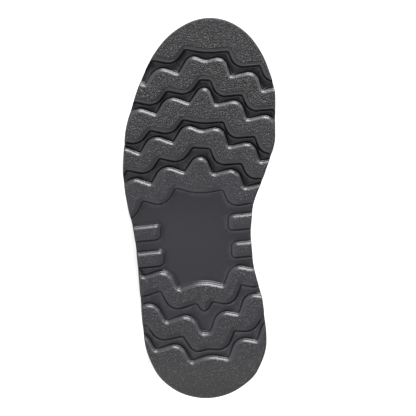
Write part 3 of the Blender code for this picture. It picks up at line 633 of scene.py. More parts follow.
def rubber_material():
    """Black moulded rubber: gritty on the lugs with a painted glint on its beads and painted shade in its
    pits, smooth in the grooves with painted shade there and in the waist, a little dusty at the heel.
    """
    look = Look("rubber_sole", (0.026, 0.026, 0.03), 0.5, Specular_IOR_Level=0.5)
    grit = look.painted("grit")
    cloud = look.noise(28.0, 5.0, 0.6)
    fine, pebble = look.noise(860.0, 1.5, 0.6), look.cells(720.0)
    bead = look.maths("SUBTRACT", look.times(fine, 1.6), look.times(pebble, 0.7))
    # Painted shade where the grit's beads are low, and a painted glint where they are high
    pit_shade = look.times(look.spread(bead, 0.71, 0.47), grit)
    painted_glint = look.times(look.spread(bead, 0.66, 0.86), grit)
    plain = look.blend(cloud, RUBBER_DARK, RUBBER_LIGHT)
    dusty = look.blend(look.times(look.painted("dust"), cloud), plain, RUBBER_DUST)
    # Painted shade: the grooves and the waist are darkened in the colour
    shaded_colour = look.blend(look.painted("hollow"), dusty, RUBBER_PAINTED_SHADE)
    colour = look.blend(painted_glint, look.blend(pit_shade, shaded_colour, RUBBER_PIT_SHADE), RUBBER_PAINTED_GLINT)
    return look.finished(colour, look.spread(grit, 0.0, 0.5, 0.32, 0.55), look.times(bead, grit), 1.0, 1.2)


def leather_material():
    """Oiled brown leather, uneven in colour, with a soft shine, a pebbled grain and finer pores."""
    look = Look("leather_oiled", LEATHER_LIGHT, 0.42)
    look.set(Specular_IOR_Level=0.28, Coat_Weight=0.05, Coat_Roughness=0.3)
    cloud = look.spread(look.noise(22.0, 6.0, 0.62), 0.32, 0.68)
    mottle = look.spread(look.noise(140.0), 0.3, 0.7)
    share = look.maths("ADD", look.times(cloud, 0.65), look.times(mottle, 0.35))
    colour = look.blend(share, LEATHER_DARK, LEATHER_LIGHT)
    grain = look.spread(look.cells(900.0, "DISTANCE_TO_EDGE"), 0.0, 0.35)
    pores = look.maths("ADD", look.times(look.noise(1980.0, 2.0), 0.25), look.noise(180.0))
    height = look.maths("ADD", look.times(grain, 0.6), pores)
    return look.finished(colour, look.spread(share, 0.0, 1.0, 0.36, 0.52), height, 0.35, 0.25)


def welt_material():
    """Dark edge leather with brushed streaks."""
    look = Look("leather_welt", (0.02, 0.013, 0.009), 0.5)
    streak = look.noise(260.0)
    colour = look.blend(streak, (0.012, 0.008, 0.006), (0.04, 0.024, 0.015))
    return look.finished(colour, look.spread(streak, 0.3, 0.7, 0.42, 0.6), streak, 0.4, 0.2)


def lining_material():
    """Tan lining and footbed cover with a fine knit."""
    look = Look("lining_knit", (0.2, 0.14, 0.09), 0.85, Sheen_Weight=0.25)
    knit = look.cells(900.0)
    colour = look.blend(look.noise(40.0), (0.13, 0.088, 0.054), (0.24, 0.172, 0.112))
    return look.finished(colour, look.spread(knit, 0.0, 0.8, 0.95, 0.75), knit, 0.5, 0.3)


def metal_material():
    """Aged brass of the eyelets."""
    look = Look("eyelet_brass", (0.36, 0.25, 0.12), 0.35, Metallic=1.0)
    tarnish = look.spread(look.noise(500.0), 0.35, 0.7)
    colour = look.blend(tarnish, (0.14, 0.095, 0.05), (0.42, 0.30, 0.15))
    return look.finished(colour, look.spread(tarnish, 0.0, 1.0, 0.5, 0.28), tarnish, 0.15, 0.1)


def thread_material():
    """Waxed tan thread, twisted."""
    look = Look("thread_waxed", (0.36, 0.24, 0.12), 0.55)
    twist = look.noise(1800.0, 2.0)
    colour = look.blend(twist, (0.22, 0.14, 0.065), (0.44, 0.30, 0.16))
    return look.finished(colour, look.spread(twist, 0.3, 0.7, 0.45, 0.7), twist, 0.5, 0.2)


def lace_material():
    """Flat braid in brown with a lighter fleck."""
    look = Look("lace_braid", (0.05, 0.03, 0.018), 0.75)
    along, across = look.painted("along"), look.painted("across")
    turns = [look.times(look.maths(way, along, across), BRAID_TURN) for way in ("ADD", "SUBTRACT")]
    braid = look.spread(look.times(*[look.maths("SINE", turn) for turn in turns]), -1.0, 1.0)
    fleck = look.spread(look.noise(420.0, 2.0), 0.56, 0.66)
    woven = look.blend(braid, LACE_DARK, LACE_LIGHT)
    colour = look.blend(look.times(fleck, 0.7), woven, LACE_FLECK)
    return look.finished(colour, look.spread(braid, 0.0, 1.0, 0.85, 0.65), braid, 0.8, 0.4)


# Outsole


def outline_sides(stations):
    """Plan points of the tread's outline from the heel to the toe: outer side and inner side."""
    angle = np.linspace(0.0, math.pi, stations + 1)
    known = end_angle(column(OUTLINE, "x"), 0.0, SOLE_LENGTH)
    x = SOLE_LENGTH * (1 - np.cos(angle)) / 2
    sides = [smooth(angle, known, column(OUTLINE, name)) for name in ("lateral", "medial")]
    return [np.stack([x, y], axis=1) for y in sides]


def loop_normals(loop):
    """Outward normals of a loop that runs up the outer side and back down the inner side."""
    along = np.roll(loop, -1, axis=0) - np.roll(loop, 1, axis=0)
    normal = np.stack([along[:, 1], -along[:, 0]], axis=1)
    return normal / np.linalg.norm(normal, axis=1, keepdims=True)


def outline_loop(inset=0.0, stations=OUTLINE_STATIONS):
    """Tread outline moved in by an amount, which may be a function of x."""
    lateral, medial = outline_sides(stations)
    loop = np.concatenate([lateral, medial[-2:0:-1]])
    amount = inset(loop[:, 0]) if callable(inset) else np.full(len(loop), float(inset))
    return loop - loop_normals(loop) * amount[:, None]


def stair(distance, corner, rise, steep, net):
    """Fall of a stepped edge at a distance from the tread axis, with a rise between two falls."""
    gentle = rise / (STEP_PERIOD - steep)
    if distance < corner:
        return (corner - distance) * gentle
    if distance == 0.0 and corner < 0.0:
        return net + rise - TIP_LENGTH
    step, rest = divmod(distance - corner, STEP_PERIOD)
    fall = step * net
    if rest < steep:
        return fall + (net + rise) * rest / steep
    return fall + net + rise - (rest - steep) * gentle


def rounded_line(points, right_radius, left_radius, steps):
    """Polyline with its corners rounded, those that turn right more or less than those that turn left."""
    points = [np.array(point, float) for point in points]
    line = [points[0]]
    for before, corner, after in zip(points, points[1:], points[2:]):
        into, out = before - corner, after - corner
        radius = right_radius if into[0] * out[1] > into[1] * out[0] else left_radius
        cut = min(radius, CORNER_SHARE * np.linalg.norm(into), CORNER_SHARE * np.linalg.norm(out))
        start = corner + into / np.linalg.norm(into) * cut
        end = corner + out / np.linalg.norm(out) * cut
        first = start + (corner - start) * ARC_HANDLE
        second = end + (corner - end) * ARC_HANDLE
        for share in np.linspace(0.0, 1.0, steps + 1):
            rest = 1 - share
            line.append(rest**3 * start + 3 * rest * share * (rest * first + share * second) + share**3 * end)
    line.append(points[-1])
    return np.array(line)


def resampled(line, spacing):
    """The same line with points at an even spacing."""
    length = line_length(line)
    at = np.linspace(0.0, length[-1], max(2, round(length[-1] / spacing) + 1))
    return along_line(line, length, at)


def tread_point(x, offset):
    """Plan point at a distance along the sole and an offset square to the tread axis."""
    keys, values = column(TREAD_AXIS, "x"), column(TREAD_AXIS, "y")
    slope = (smooth(x + 1, keys, values) - smooth(x - 1, keys, values)) / 2
    middle = smooth(x, keys, values)
    length = np.sqrt(1 + slope**2)
    return np.stack([x - offset * slope / length, middle + offset / length], axis=-1)


def step_distances(corner, steep):
    """Distances from the tread axis where a stepped edge turns."""
    distances = set() if 0.0 < corner < FLAT_PEAK else {0.0}
    step = corner
    while step < PATTERN_REACH:
        distances.update((step, step + steep))
        step += STEP_PERIOD
    inside = [distance for distance in distances if 0.0 <= distance < PATTERN_REACH - PATTERN_MARGIN]
    return sorted(inside) + [PATTERN_REACH]


def stepped_edge(edge, turn, side):
    """Stepped edge across the whole sole, outer side first. Its lug is to the front (1) or the back (-1)."""
    heel = turn > 0
    stretch = (HEEL_STRETCH_LATERAL, HEEL_STRETCH_MEDIAL) if heel else (1.0, 1.0)
    steeps = (HEEL_STEEP_OUTER, HEEL_STEEP_INNER) if heel else (STEP_STEEP_OUTER, STEP_STEEP_INNER)
    net = HEEL_NET_FALL if heel else STEP_NET_FALL
    halves = []
    for corner, steep in zip((edge.outer, edge.inner), steeps):
        distances = step_distances(corner, steep)
        falls = [stair(distance, corner, edge.rise, steep, net) for distance in distances]
        if 0.0 < corner < FLAT_PEAK and side < 0 and not heel:
            falls[0] += THUMB_DROP
        halves.append([(edge.place + turn * fall, distance) for fall, distance in zip(falls, distances)])
    line = [(x, -distance * stretch[0]) for x, distance in halves[0][::-1] if distance > 0]
    line += [(x, distance * stretch[1]) for x, distance in halves[1]]
    radii = (LUG_CORNER, NOTCH_CORNER)[::side]
    line = rounded_line(line, *radii, LUG_CORNER_STEPS)
    return resampled(tread_point(line[:, 0], line[:, 1]), EDGE_SPACING)


def bar_loop(bar):
    """Plan outline of a bar that reaches from the waist's floor out past the sole's edge."""
    side = math.copysign(1.0, bar.inner_end)
    outer_end = bar.inner_end + side * BAR_LENGTH
    middle = bar.x - BAR_SLANT * (bar.inner_end + side * BAR_PIVOT)
    half = BAR_WIDTH / 2
    corners = ((-half, outer_end), (-half, bar.inner_end), (half, bar.inner_end), (half, outer_end))
    slanted = [(middle + x + BAR_SLANT * y, y) for x, y in corners]
    return resampled(rounded_line(slanted, BAR_CORNER, BAR_CORNER, LUG_CORNER_STEPS), EDGE_SPACING)


def loop_distance(points, loop, reach=6.0):
    """Distance of plan points from a closed loop, more than 0 inside it, worked out only near the loop."""
    distance = np.full(len(points), -reach)
    near = np.all((points > loop.min(axis=0) - reach) & (points < loop.max(axis=0) + reach), axis=1)
    distance[near] = signed_distance(points[near], loop)[0]
    return distance


def signed_distance(points, loop):
    """Distance of plan points from a closed loop, more than 0 inside it, and the loop's nearest stretch."""
    end = np.roll(loop, -1, axis=0)
    along = end - loop
    size = (along**2).sum(axis=1)
    rise = np.where(along[:, 1] == 0, 1e-12, along[:, 1])
    distance, nearest = np.empty(len(points)), np.empty(len(points), int)
    for first in range(0, len(points), DISTANCE_BATCH):
        batch = np.s_[first:first + DISTANCE_BATCH]
        chunk = points[batch, None, :]
        offset = chunk - loop
        share = np.clip((offset * along).sum(axis=2) / size, 0.0, 1.0)
        gap = ((offset - share[..., None] * along) ** 2).sum(axis=2)
        closest = gap.argmin(axis=1)
        straddles = (loop[:, 1] > chunk[..., 1]) != (end[:, 1] > chunk[..., 1])
        crossing = loop[:, 0] + (chunk[..., 1] - loop[:, 1]) / rise * along[:, 0]
        inside = (straddles & (chunk[..., 0] < crossing)).sum(axis=1) % 2 == 1
        size_here = np.sqrt(gap[np.arange(len(closest)), closest])
        distance[batch] = np.where(inside, size_here, -size_here)
        nearest[batch] = closest
    return distance, nearest


def tread_lines():
    """Lug edges, each with the side that its lug is on, and the loops of the grooves, waist and bars."""
    edges, grooves, bars = [], [], []
    for groove in GROOVES:
        front = stepped_edge(groove.front, groove.turn, 1)
        back = stepped_edge(groove.back, groove.turn, -1)
        edges += [(front, 1), (back, -1)]
        grooves.append(np.concatenate([front, back[::-1]]))
    front = stepped_edge(WAIST_FRONT, -1, 1)
    back = stepped_edge(WAIST_BACK, 1, -1)
    edges += [(front, 1), (back, -1)]
    waist = np.concatenate([front, back[::-1]])
    for bar in BARS:
        loop = bar_loop(bar)
        edges.append((loop, 1 if bar.inner_end < 0 else -1))
        bars.append(loop)
    return edges, grooves, waist, bars


def line_offset(line, amount):
    along = np.gradient(line, axis=0)
    normal = np.stack([along[:, 1], -along[:, 0]], axis=1)
    normal /= np.linalg.norm(normal, axis=1, keepdims=True)
    return line + normal * amount


def tread_plan(edges, outline):
    """Triangles of the tread in plan, with lines along the outline and along every bend of a lug's edge."""
    points, links = [], []

    def add_line(line, closed=False):
        start = len(points)
        points.extend(line.tolist())
        count = len(line)
        links.extend((start + item, start + item + 1) for item in range(count - 1))
        if closed:
            links.append((start + count - 1, start))

    for inset in RIM_INSETS:
        add_line(outline_loop(inset), closed=True)
    for line, side in edges:
        for cut in LUG_EDGE:
            ring = line_offset(line, side * cut.inside)
            kept = signed_distance(ring, outline)[0] > -EDGE_OVERRUN
            runs = np.split(np.arange(len(ring)), np.flatnonzero(np.diff(kept.astype(int))) + 1)
            for run in runs:
                if kept[run[0]] and len(run) > 1:
                    add_line(ring[run])
    rows = np.arange(0.0, SOLE_LENGTH, FILL_SPACING)
    across = np.arange(-FILL_HALF, FILL_HALF, FILL_SPACING)
    fill = np.array([(x, y + FILL_SPACING / 2 * (row % 2)) for row, x in enumerate(rows) for y in across])
    fill = fill[signed_distance(fill, outline)[0] > RIM_INSETS[-1] + FILL_MARGIN]
    points.extend(fill.tolist())
    made = delaunay_2d_cdt([Vector(point) for point in points], links, [], 0, PLAN_TOLERANCE)
    plan = np.array([tuple(point) for point in made[0]])
    faces = np.array(made[2])
    middle = plan[faces].mean(axis=1)
    return plan, faces[signed_distance(middle, outline)[0] > 0]


def boundary_loop(faces):
    """Vertices round the edge of a sheet of triangles, in order."""
    following = {}
    pairs = {(int(face[item]), int(face[(item + 1) % 3])) for face in faces for item in range(3)}
    for first, second in pairs:
        if (second, first) not in pairs:
            following[first] = second
    loop = [next(iter(following))]
    while following[loop[-1]] != loop[0]:
        loop.append(following[loop[-1]])
    return loop


def build_outsole():
    """Tread with rounded lugs, side wall and welt lip, in one closed mesh."""
    edges, grooves, waist, bars = tread_lines()
    outline = outline_loop()
    plan, faces = tread_plan(edges, outline)
    used, faces = np.unique(faces, return_inverse=True)
    plan, faces = plan[used], faces.reshape(-1, 3)
    rim, nearest = signed_distance(plan, outline)
    rim = np.maximum(rim, 0.0)
    in_groove = np.max([loop_distance(plan, loop) for loop in grooves], axis=0)
    waist_lug = np.max([loop_distance(plan, loop) for loop in bars], axis=0)
    waist_lug = np.maximum(waist_lug, -loop_distance(plan, waist))
    inside = np.minimum(-in_groove, waist_lug)
    depth = np.interp(inside, column(LUG_EDGE, "inside"), column(LUG_EDGE, "depth"))
    rounding = np.clip(1 - rim / RIM_WIDTH, 0.0, 1.0)
    drop = RIM_HEIGHT * (1 - np.sqrt(1 - rounding**2))
    depth = depth + drop * (1 - depth / GROOVE_DEPTH)
    normals = loop_normals(outline)
    outward = (normals + np.roll(normals, -1, axis=0))[nearest]
    outward /= np.linalg.norm(outward, axis=1, keepdims=True)
    draw_in = END_INSET * np.clip((depth - RIM_HEIGHT) / (GROOVE_DEPTH - RIM_HEIGHT), 0.0, 1.0)
    draw_in = draw_in * np.clip(1 - rim / END_FADE, 0.0, 1.0)
    moved = plan - outward * draw_in[:, None]
    points = np.column_stack([moved, tread_height(plan[:, 0]) + depth])
    grit = ramp(inside, *GRIT_EDGE) * ramp(rim, *GRIT_RIM)
    grit = grit * smooth(plan[:, 0], column(GRIT, "x"), column(GRIT, "strength"))
    # Painted shade: a darker colour in the grooves, strongest toward the toe, and in the waist
    hollow = HEEL_PAINTED_SHADE + (1 - HEEL_PAINTED_SHADE) * ramp(plan[:, 0], *PAINTED_SHADE_FRONT)
    waist_painted_shade = WAIST_PAINTED_SHADE + WAIST_BACK_PAINTED_SHADE * ramp(plan[:, 0], *WAIST_BACK_RAMP)
    hollow = np.maximum(hollow * ramp(in_groove, *PAINTED_SHADE_EDGE), waist_painted_shade * ramp(-waist_lug, *PAINTED_SHADE_EDGE))

    ring = boundary_loop(faces)
    base, away = plan[ring], outward[ring]
    x = base[:, 0]
    total = seat_height(x) - tread_height(x)
    rows = [points]
    all_faces = [tuple(face) for face in faces]
    lower = list(ring)
    count = len(points)
    for level in SIDE_LEVELS:
        inset = level.inset + level.flared * flare_at(x)
        height = tread_height(x) + level.share * total + level.lift
        rows.append(np.column_stack([base - away * inset[:, None], height]))
        upper = list(range(count, count + len(ring)))
        all_faces += zip(lower[1:] + lower[:1], lower, upper, upper[1:] + upper[:1])
        lower = upper
        count += len(ring)
    all_faces.append(tuple(lower))
    points = np.concatenate(rows)
    piece = add_piece("outsole_rubber", points, all_faces, [rubber_material()])
    extra = len(points) - len(grit)
    add_values(piece, "grit", np.concatenate([grit, np.full(extra, SIDE_GRIT)]))
    # Painted shade of the grooves and the waist, for the material
    add_values(piece, "hollow", np.concatenate([hollow, np.zeros(extra)]))
    add_values(piece, "dust", ramp(points[:, 0], *DUST_RAMP))
    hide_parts("outsole")


# Upper


def welt_margin(x):
    return WELT_MARGIN_HEEL + (WELT_MARGIN_TOE - WELT_MARGIN_HEEL) * ramp(x, *WELT_RAMP)


def feather_inset(x):
    return flare_at(x) + welt_margin(x)


def two_sides(loop):
    """Outer and inner side of a loop, both from the heel to the toe."""
    middle = len(loop) // 2
    return np.stack([loop[:middle + 1], np.concatenate([loop[:1], loop[:middle - 1:-1]])])


FEATHER = two_sides(outline_loop(feather_inset))
HEEL_X = FEATHER[0, 0, 0]
TOE_X = FEATHER[0, -1, 0]


def axis_y(x):
    """Middle line of the upper in plan, bowed to the outer side."""
    share = np.clip((np.asarray(x, float) - HEEL_X) / (TOE_X - HEEL_X), 0.0, 1.0)
    start, end = FEATHER[0, 0, 1], FEATHER[0, -1, 1]
    return start + (end - start) * share - AXIS_BOW * np.sin(math.pi * share) ** 2


def feather_half(x, side):
    """Half width of the feather line, from the middle line to the outer (0) or inner (1) side."""
    edge = FEATHER[side]
    y = np.interp(end_angle(x, HEEL_X, TOE_X), end_angle(edge[:, 0], HEEL_X, TOE_X), edge[:, 1])
    return np.maximum((axis_y(x) - y) * (1, -1)[side], 0.0)


def back_x(z):
    return HEEL_X + smooth(z, column(SHAFT, "z"), column(SHAFT, "back"))


def side_half(x, z, side):
    """Half width of the upper before it closes over the top."""
    rise = z - seat_height(x)
    foot = feather_half(x - (back_x(z) - HEEL_X) * ramp(x, *HEEL_RAMP), side)
    foot = foot * (1 + SIDE_BULGE * ramp(rise, BULGE_START, BULGE_RISE))
    width = smooth(z, column(SHAFT, "z"), column(SHAFT, ("lateral", "medial")[side]))
    round_share = np.clip((x - back_x(z)) / HEEL_ROUND, 0.0, 1.0)
    shaft = width * np.sqrt(1 - (1 - round_share) ** 2)
    blend = ramp(x, ANKLE_FRONT, ANKLE_BACK - ANKLE_FRONT) * ramp(rise, BULGE_START, ANKLE_RISE)
    return foot + blend * (shaft - foot)


def travel(reach):
    """Even coordinate from the toe (0) along the feather line to the heel, then up the back."""
    reach = np.asarray(reach, float)
    foot = math.pi - end_angle(np.maximum(reach, HEEL_X), HEEL_X, TOE_X)
    return foot + np.maximum(HEEL_X - reach, 0.0) / BACK_ANGLE_STEP


COLLAR = float(travel(HEEL_X - (COLLAR_BACK - seat_height(HEEL_X))))


def section_at(way):
    """Bottom point, top point, widest share and shoulder of the section at a travel coordinate."""
    way = np.asarray(way, float)
    keys = travel(column(SECTIONS, "reach"))
    low_x = HEEL_X + (TOE_X - HEEL_X) * (1 + np.cos(np.minimum(way, math.pi))) / 2
    low_z = seat_height(low_x) + 2 * CLEARANCE + np.maximum(way - math.pi, 0.0) * BACK_ANGLE_STEP
    low_x = np.where(way > math.pi, back_x(low_z), low_x)
    tops = [smooth(way, keys, column(SECTIONS, name)) for name in ("top_x", "top_z", "widest", "shoulder")]
    return (low_x, low_z, *tops)


def upper_point(way, turn, side):
    """Point of the upper's outer face. Turn runs from 0 at the top line to 1 at the feather line."""
    low_x, low_z, top_x, top_z, widest, shoulder = section_at(way)
    turn = np.asarray(turn, float)
    below = turn > SHOULDER_TURN
    angle = np.clip(turn / SHOULDER_TURN, 0.0, 1.0) * math.pi / 2
    rise = widest + (1 - widest) * np.cos(angle) ** (2 / shoulder)
    rounding = 1 + ramp(way / math.pi, *WALL_RAMP)
    rise = np.where(below, widest * np.clip((1 - turn) / (1 - SHOULDER_TURN), 0.0, 1.0) ** rounding, rise)
    closing = np.where(below, 1.0, np.sin(angle) ** (2 / shoulder))
    x = low_x + rise * (top_x - low_x)
    z = low_z + rise * (top_z - low_z)
    y = axis_y(x) + (-1, 1)[side] * side_half(x, z, side) * closing
    return np.stack(np.broadcast_arrays(x, y, z), axis=-1)


def turn_at(way, spread_out, side):
    """Turn at which the upper's face is a given distance from its middle line, near the top line."""
    low_x, low_z, top_x, top_z, widest, shoulder = section_at(way)
    spread_out = np.asarray(spread_out, float)
    rise = np.ones(np.broadcast(way, spread_out).shape)
    for _ in range(6):
        half = side_half(low_x + rise * (top_x - low_x), low_z + rise * (top_z - low_z), side)
        closing = np.clip(spread_out / np.maximum(half, 1e-6), 0.0, 0.999)
        angle = np.arcsin(closing ** (shoulder / 2))
        rise = widest + (1 - widest) * np.cos(angle) ** (2 / shoulder)
    return angle / (math.pi / 2) * SHOULDER_TURN


def front_point(way, offset):
    """Points on the upper's face, to the outer (minus) or inner side of the top line, and their normals."""
    way, offset = np.broadcast_arrays(np.asarray(way, float), np.asarray(offset, float))

    def place(a, b):
        sides = [upper_point(a, turn_at(a, np.abs(b), side), side) for side in (0, 1)]
        return np.where((b < 0)[..., None], *sides)

    step = 0.02
    along = place(way + step, offset) - place(way - step, offset)
    across = place(way, offset + 0.5) - place(way, offset - 0.5)
    return place(way, offset), unit(np.cross(across, along))


WAYS = np.linspace(0.0, travel(SECTIONS[-1].reach), 2000)
TOP_LINE = section_at(WAYS)
TOP_TURN = int(TOP_LINE[2].argmin())


def way_of_top(x=None, z=None):
    """Travel coordinate where the top line passes a given x on the vamp, or a given z on the shaft."""
    if x is not None:
        return np.interp(-np.asarray(x, float), -TOP_LINE[2][:TOP_TURN + 1], WAYS[:TOP_TURN + 1])
    return np.interp(z, TOP_LINE[3], WAYS)


THROAT_WAY = way_of_top(x=THROAT_X)


def throat_half(way):
    share = (way - THROAT_WAY) / (travel(HEEL_X - (COLLAR_BACK - SHAFT[0].z)) - THROAT_WAY)
    full = THROAT_HALF_FRONT + (THROAT_HALF_COLLAR - THROAT_HALF_FRONT) * share
    opening = np.clip((THROAT_X - section_at(way)[2]) / THROAT_ROUND, 0.0, 1.0)
    return np.maximum(full * np.sqrt(1 - (1 - opening) ** 2), 0.0)


def skin_point(way, down, side):
    """Point of the upper's face, down from the top line or throat edge (0) to the feather line (1)."""
    way, down = np.broadcast_arrays(np.asarray(way, float), np.asarray(down, float))
    half = throat_half(way)
    edge = np.where(half > 0, turn_at(way, half, side), 0.0)
    turn = np.where(down < SHOULDER_TURN, edge + (SHOULDER_TURN - edge) * down / SHOULDER_TURN, down)
    return upper_point(way, turn, side)


def skin_normal(way, down, side):
    """Outward normal of the upper's face."""
    step = 0.004
    along = skin_point(way + step, down, side) - skin_point(way - step, down, side)
    low, high = np.clip(down - step, 0.0, 1.0), np.clip(down + step, 0.0, 1.0)
    across = skin_point(way, high, side) - skin_point(way, low, side)
    return unit(np.cross(along, across)) * (1, -1)[side]


def seam_spread(x):
    """Distance of the moc seam from the top line."""
    reach = np.maximum((x - SEAM_SHOULDER) / (SEAM_TOE - SEAM_SHOULDER), 0.0)
    round_toe = SEAM_SPREAD * (1 - reach**SEAM_TOE_CURVE) ** SEAM_TOE_SQUARE
    return round_toe - SEAM_TAPER * np.maximum(SEAM_SHOULDER - x, 0.0)


def seam_line(count):
    """Moc seam's path on the upper, from the outer side round the toe to the inner side, with normals."""
    turn = np.linspace(-1.0, 1.0, count)
    x = SEAM_TOE - (SEAM_TOE - SEAM_BACK) * np.abs(turn) ** SEAM_GATHER
    return front_point(way_of_top(x=x), np.copysign(np.maximum(seam_spread(x), 1e-3), turn))


def quarter_seam(down):
    """Travel coordinate of the edge where the quarter overlaps the vamp."""
    return travel(QUARTER_TOP + (QUARTER_LOW - QUARTER_TOP) * np.asarray(down, float) ** QUARTER_CURVE)


def skin_ways(down):
    """Rows of the upper's skin for each column, gathered at the quarter's edge, and the row of that edge."""
    seam = quarter_seam(down)
    near = np.geomspace(0.002, 0.08, 9)
    to_seam = np.concatenate([np.linspace(0.0, 0.9, 44), 1 - near[::-1], [1.0]])
    to_heel = np.concatenate([[0.0], near, np.linspace(0.1, 1.0, 42)])
    to_collar = np.linspace(0.0, 1.0, 42)[1:]
    rows = [seam * share for share in to_seam]
    rows += [seam + (math.pi - seam) * share for share in to_heel]
    rows += [np.full(len(seam), math.pi + (COLLAR - math.pi) * share) for share in to_collar]
    return np.array(rows), len(to_seam), len(to_seam) + len(to_heel) - 1


def skin_relief(way, down, points, edge_row):
    """Relief of the leather on the plain last: waves, quarter edge, creases, collar padding and puckers."""
    waves = [np.sin(forward * way + lower * down) for forward, lower in WAVES]
    relief = WAVE_HEIGHT * waves[0] * waves[1]
    before = (quarter_seam(down) - way) * FOOT_ANGLE_STEP
    after = np.maximum(-before[edge_row:], 0.0)
    relief[:edge_row] -= QUARTER_STEP * np.exp(-np.maximum(before[:edge_row], 0.0) / QUARTER_FADE)
    relief[edge_row:] -= QUARTER_TUCK * np.clip(1 - after / QUARTER_ROUND, 0.0, 1.0) ** 2
    for crease in CREASES:
        scale = FOOT_ANGLE_STEP if crease.reach > CREASE_FOOT else CREASE_SHAFT_STEP
        off = (way - travel(crease.reach + crease.drift * down)) * scale / crease.width
        fade = CREASE_FADE * (crease.end - crease.start)
        strength = crease.depth * ramp(down, crease.start, fade) * ramp(down, crease.end, -fade)
        relief = relief - strength * (1 - off**2) * np.exp(-off**2 / 2)
    below = (COLLAR - way) * BACK_ANGLE_STEP
    padded = np.sin(math.pi * np.clip((below - 2.0) / (COLLAR_BAND - 3.0), 0.0, 1.0))
    quilted = np.exp(-((below - COLLAR_BAND) / QUILT_WIDTH) ** 2)
    relief = relief + ramp(down, *COLLAR_RAMP) * (COLLAR_PUFF * padded - QUILT_DEPTH * quilted)
    path, _ = seam_line(160)
    near = points[..., 0] > SEAM_BACK - PUCKER_REACH
    gap = np.linalg.norm(points[near][:, None, :] - path[None], axis=2)
    closest = gap.argmin(axis=1)
    off = (gap[np.arange(len(closest)), closest] - PUCKER_OFFSET) / PUCKER_WIDTH
    pucker = PUCKER_HEIGHT * np.cos(2 * math.pi * line_length(path)[closest] / SEAM_PITCH) - PUCKER_SINK
    relief[near] += ramp(path[closest, 0], *PUCKER_RAMP) * pucker * np.exp(-(off**2))
    return relief


def grid_faces(rows, columns, start=0, flip=False):
    """Faces of a grid of vertices, the other way round if flipped."""
    firsts = [start + row * columns + item for row in range(rows - 1) for item in range(columns - 1)]
    faces = [(first, first + 1, first + columns + 1, first + columns) for first in firsts]
    return [face[::-1] for face in faces] if flip else faces


def build_upper(leather, lining):
    """Leather upper with its lining, open at the collar, the throat and underneath."""
    shoulder = np.linspace(0.0, SHOULDER_TURN, SKIN_COLUMNS)
    wall = np.linspace(SHOULDER_TURN, 1.0, SKIN_COLUMNS)[1:]
    down = np.concatenate([shoulder, wall])
    way, edge_row, heel_row = skin_ways(down)
    down = np.broadcast_to(down, way.shape)
    faces_out = [skin_point(way, down, side) for side in (0, 1)]
    normals = [skin_normal(np.clip(way, 0.01, None), down, side) for side in (0, 1)]
    closed = way[:, 0] < THROAT_WAY
    for place in (np.s_[closed, 0], np.s_[heel_row:, -1], np.s_[0, :]):
        shared = unit(normals[0][place] + normals[1][place])
        normals[0][place] = shared
        normals[1][place] = shared
    points, faces, slots = [], [], []
    rows, columns = way.shape
    for side in (0, 1):
        relief = skin_relief(way, down, faces_out[side], edge_row)
        outer = faces_out[side] + normals[side] * relief[..., None]
        inner = faces_out[side] - normals[side] * WALL
        start = sum(map(len, points))
        points += [outer.reshape(-1, 3), inner.reshape(-1, 3)]
        size = rows * columns
        faces += grid_faces(rows, columns, start)
        slots += [0] * (len(faces) - len(slots))
        faces += grid_faces(rows, columns, start + size, flip=True)
        slots += [1] * (len(faces) - len(slots))
        index = start + np.arange(size).reshape(rows, columns)
        opened = max(int(np.flatnonzero(~closed)[0]) - 1, 0)
        for line in (index[opened:, 0], index[-1, :], index[:heel_row + 1, -1]):
            for first, second in zip(line, line[1:]):
                faces.append((first, second, second + size, first + size))
        slots += [0] * (len(faces) - len(slots))
    piece = add_piece("upper_leather", np.concatenate(points), faces, [leather, lining], slots, weld=0.02)
    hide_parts("upper")


def read_rows(grid, shares):
    """Rows of a grid of points at shares of its length."""
    at = np.asarray(shares) * (len(grid) - 1)
    cell = np.clip(at.astype(int), 0, len(grid) - 2)
    share = (at - cell)[:, None, None]
    return grid[cell] * (1 - share) + grid[cell + 1] * share


def resample_grid(grid, rows, columns):
    """Grid of points read at shares of its length and width."""
    return read_rows(read_rows(grid, rows).swapaxes(0, 1), columns).swapaxes(0, 1)


def grid_normals(grid, inside):
    """Normals of a grid of points, away from a point inside the boot."""
    normals = unit(np.cross(np.gradient(grid, axis=0), np.gradient(grid, axis=1)))
    outward = (normals * (grid - np.asarray(inside))).sum() > 0
    return normals if outward else -normals


def build_sheet(name, grid, normals, low, high, materials, rounding=0.7):
    """Thick leather with rounded edges, from low to high above a grid of points."""

    def border(length, count):
        inset = rounding / length
        middle = np.linspace(inset, 1 - inset, count)
        shares = np.concatenate([[0.0, 0.0, 0.3 * inset], middle, [1 - 0.3 * inset, 1.0, 1.0]])
        drop = np.zeros(len(shares))
        drop[[1, -2]] = 0.75 * rounding
        drop[[2, -3]] = 0.25 * rounding
        drop[[0, -1]] = high - low
        return shares, drop

    length = line_length(grid[:, grid.shape[1] // 2])[-1]
    width = line_length(grid[grid.shape[0] // 2])[-1]
    rows, row_drop = border(length, max(8, int(length / 2.0)))
    columns, column_drop = border(width, max(6, int(width / 2.0)))
    drop = np.maximum(row_drop[:, None], column_drop[None, :])
    base = resample_grid(grid, rows, columns)
    lift = unit(resample_grid(normals, rows, columns))
    top = base + lift * (high - drop)[..., None]
    under = base + lift * low
    size = len(rows) * len(columns)
    points = np.concatenate([top.reshape(-1, 3), under.reshape(-1, 3)])
    faces = grid_faces(len(rows), len(columns))
    faces += grid_faces(len(rows), len(columns), size, flip=True)
    return add_piece(name, points, faces, materials, weld=0.01)


def strip_turns(way, edge, width, count, side):
    """Turns across a strip of even width, which starts at a distance from the middle line."""
    turns = np.linspace(float(turn_at(way, edge, side)), 1.0, 80)
    points = upper_point(np.full(len(turns), way), turns, side)
    return np.interp(np.linspace(0.0, width, count), line_length(points), turns)


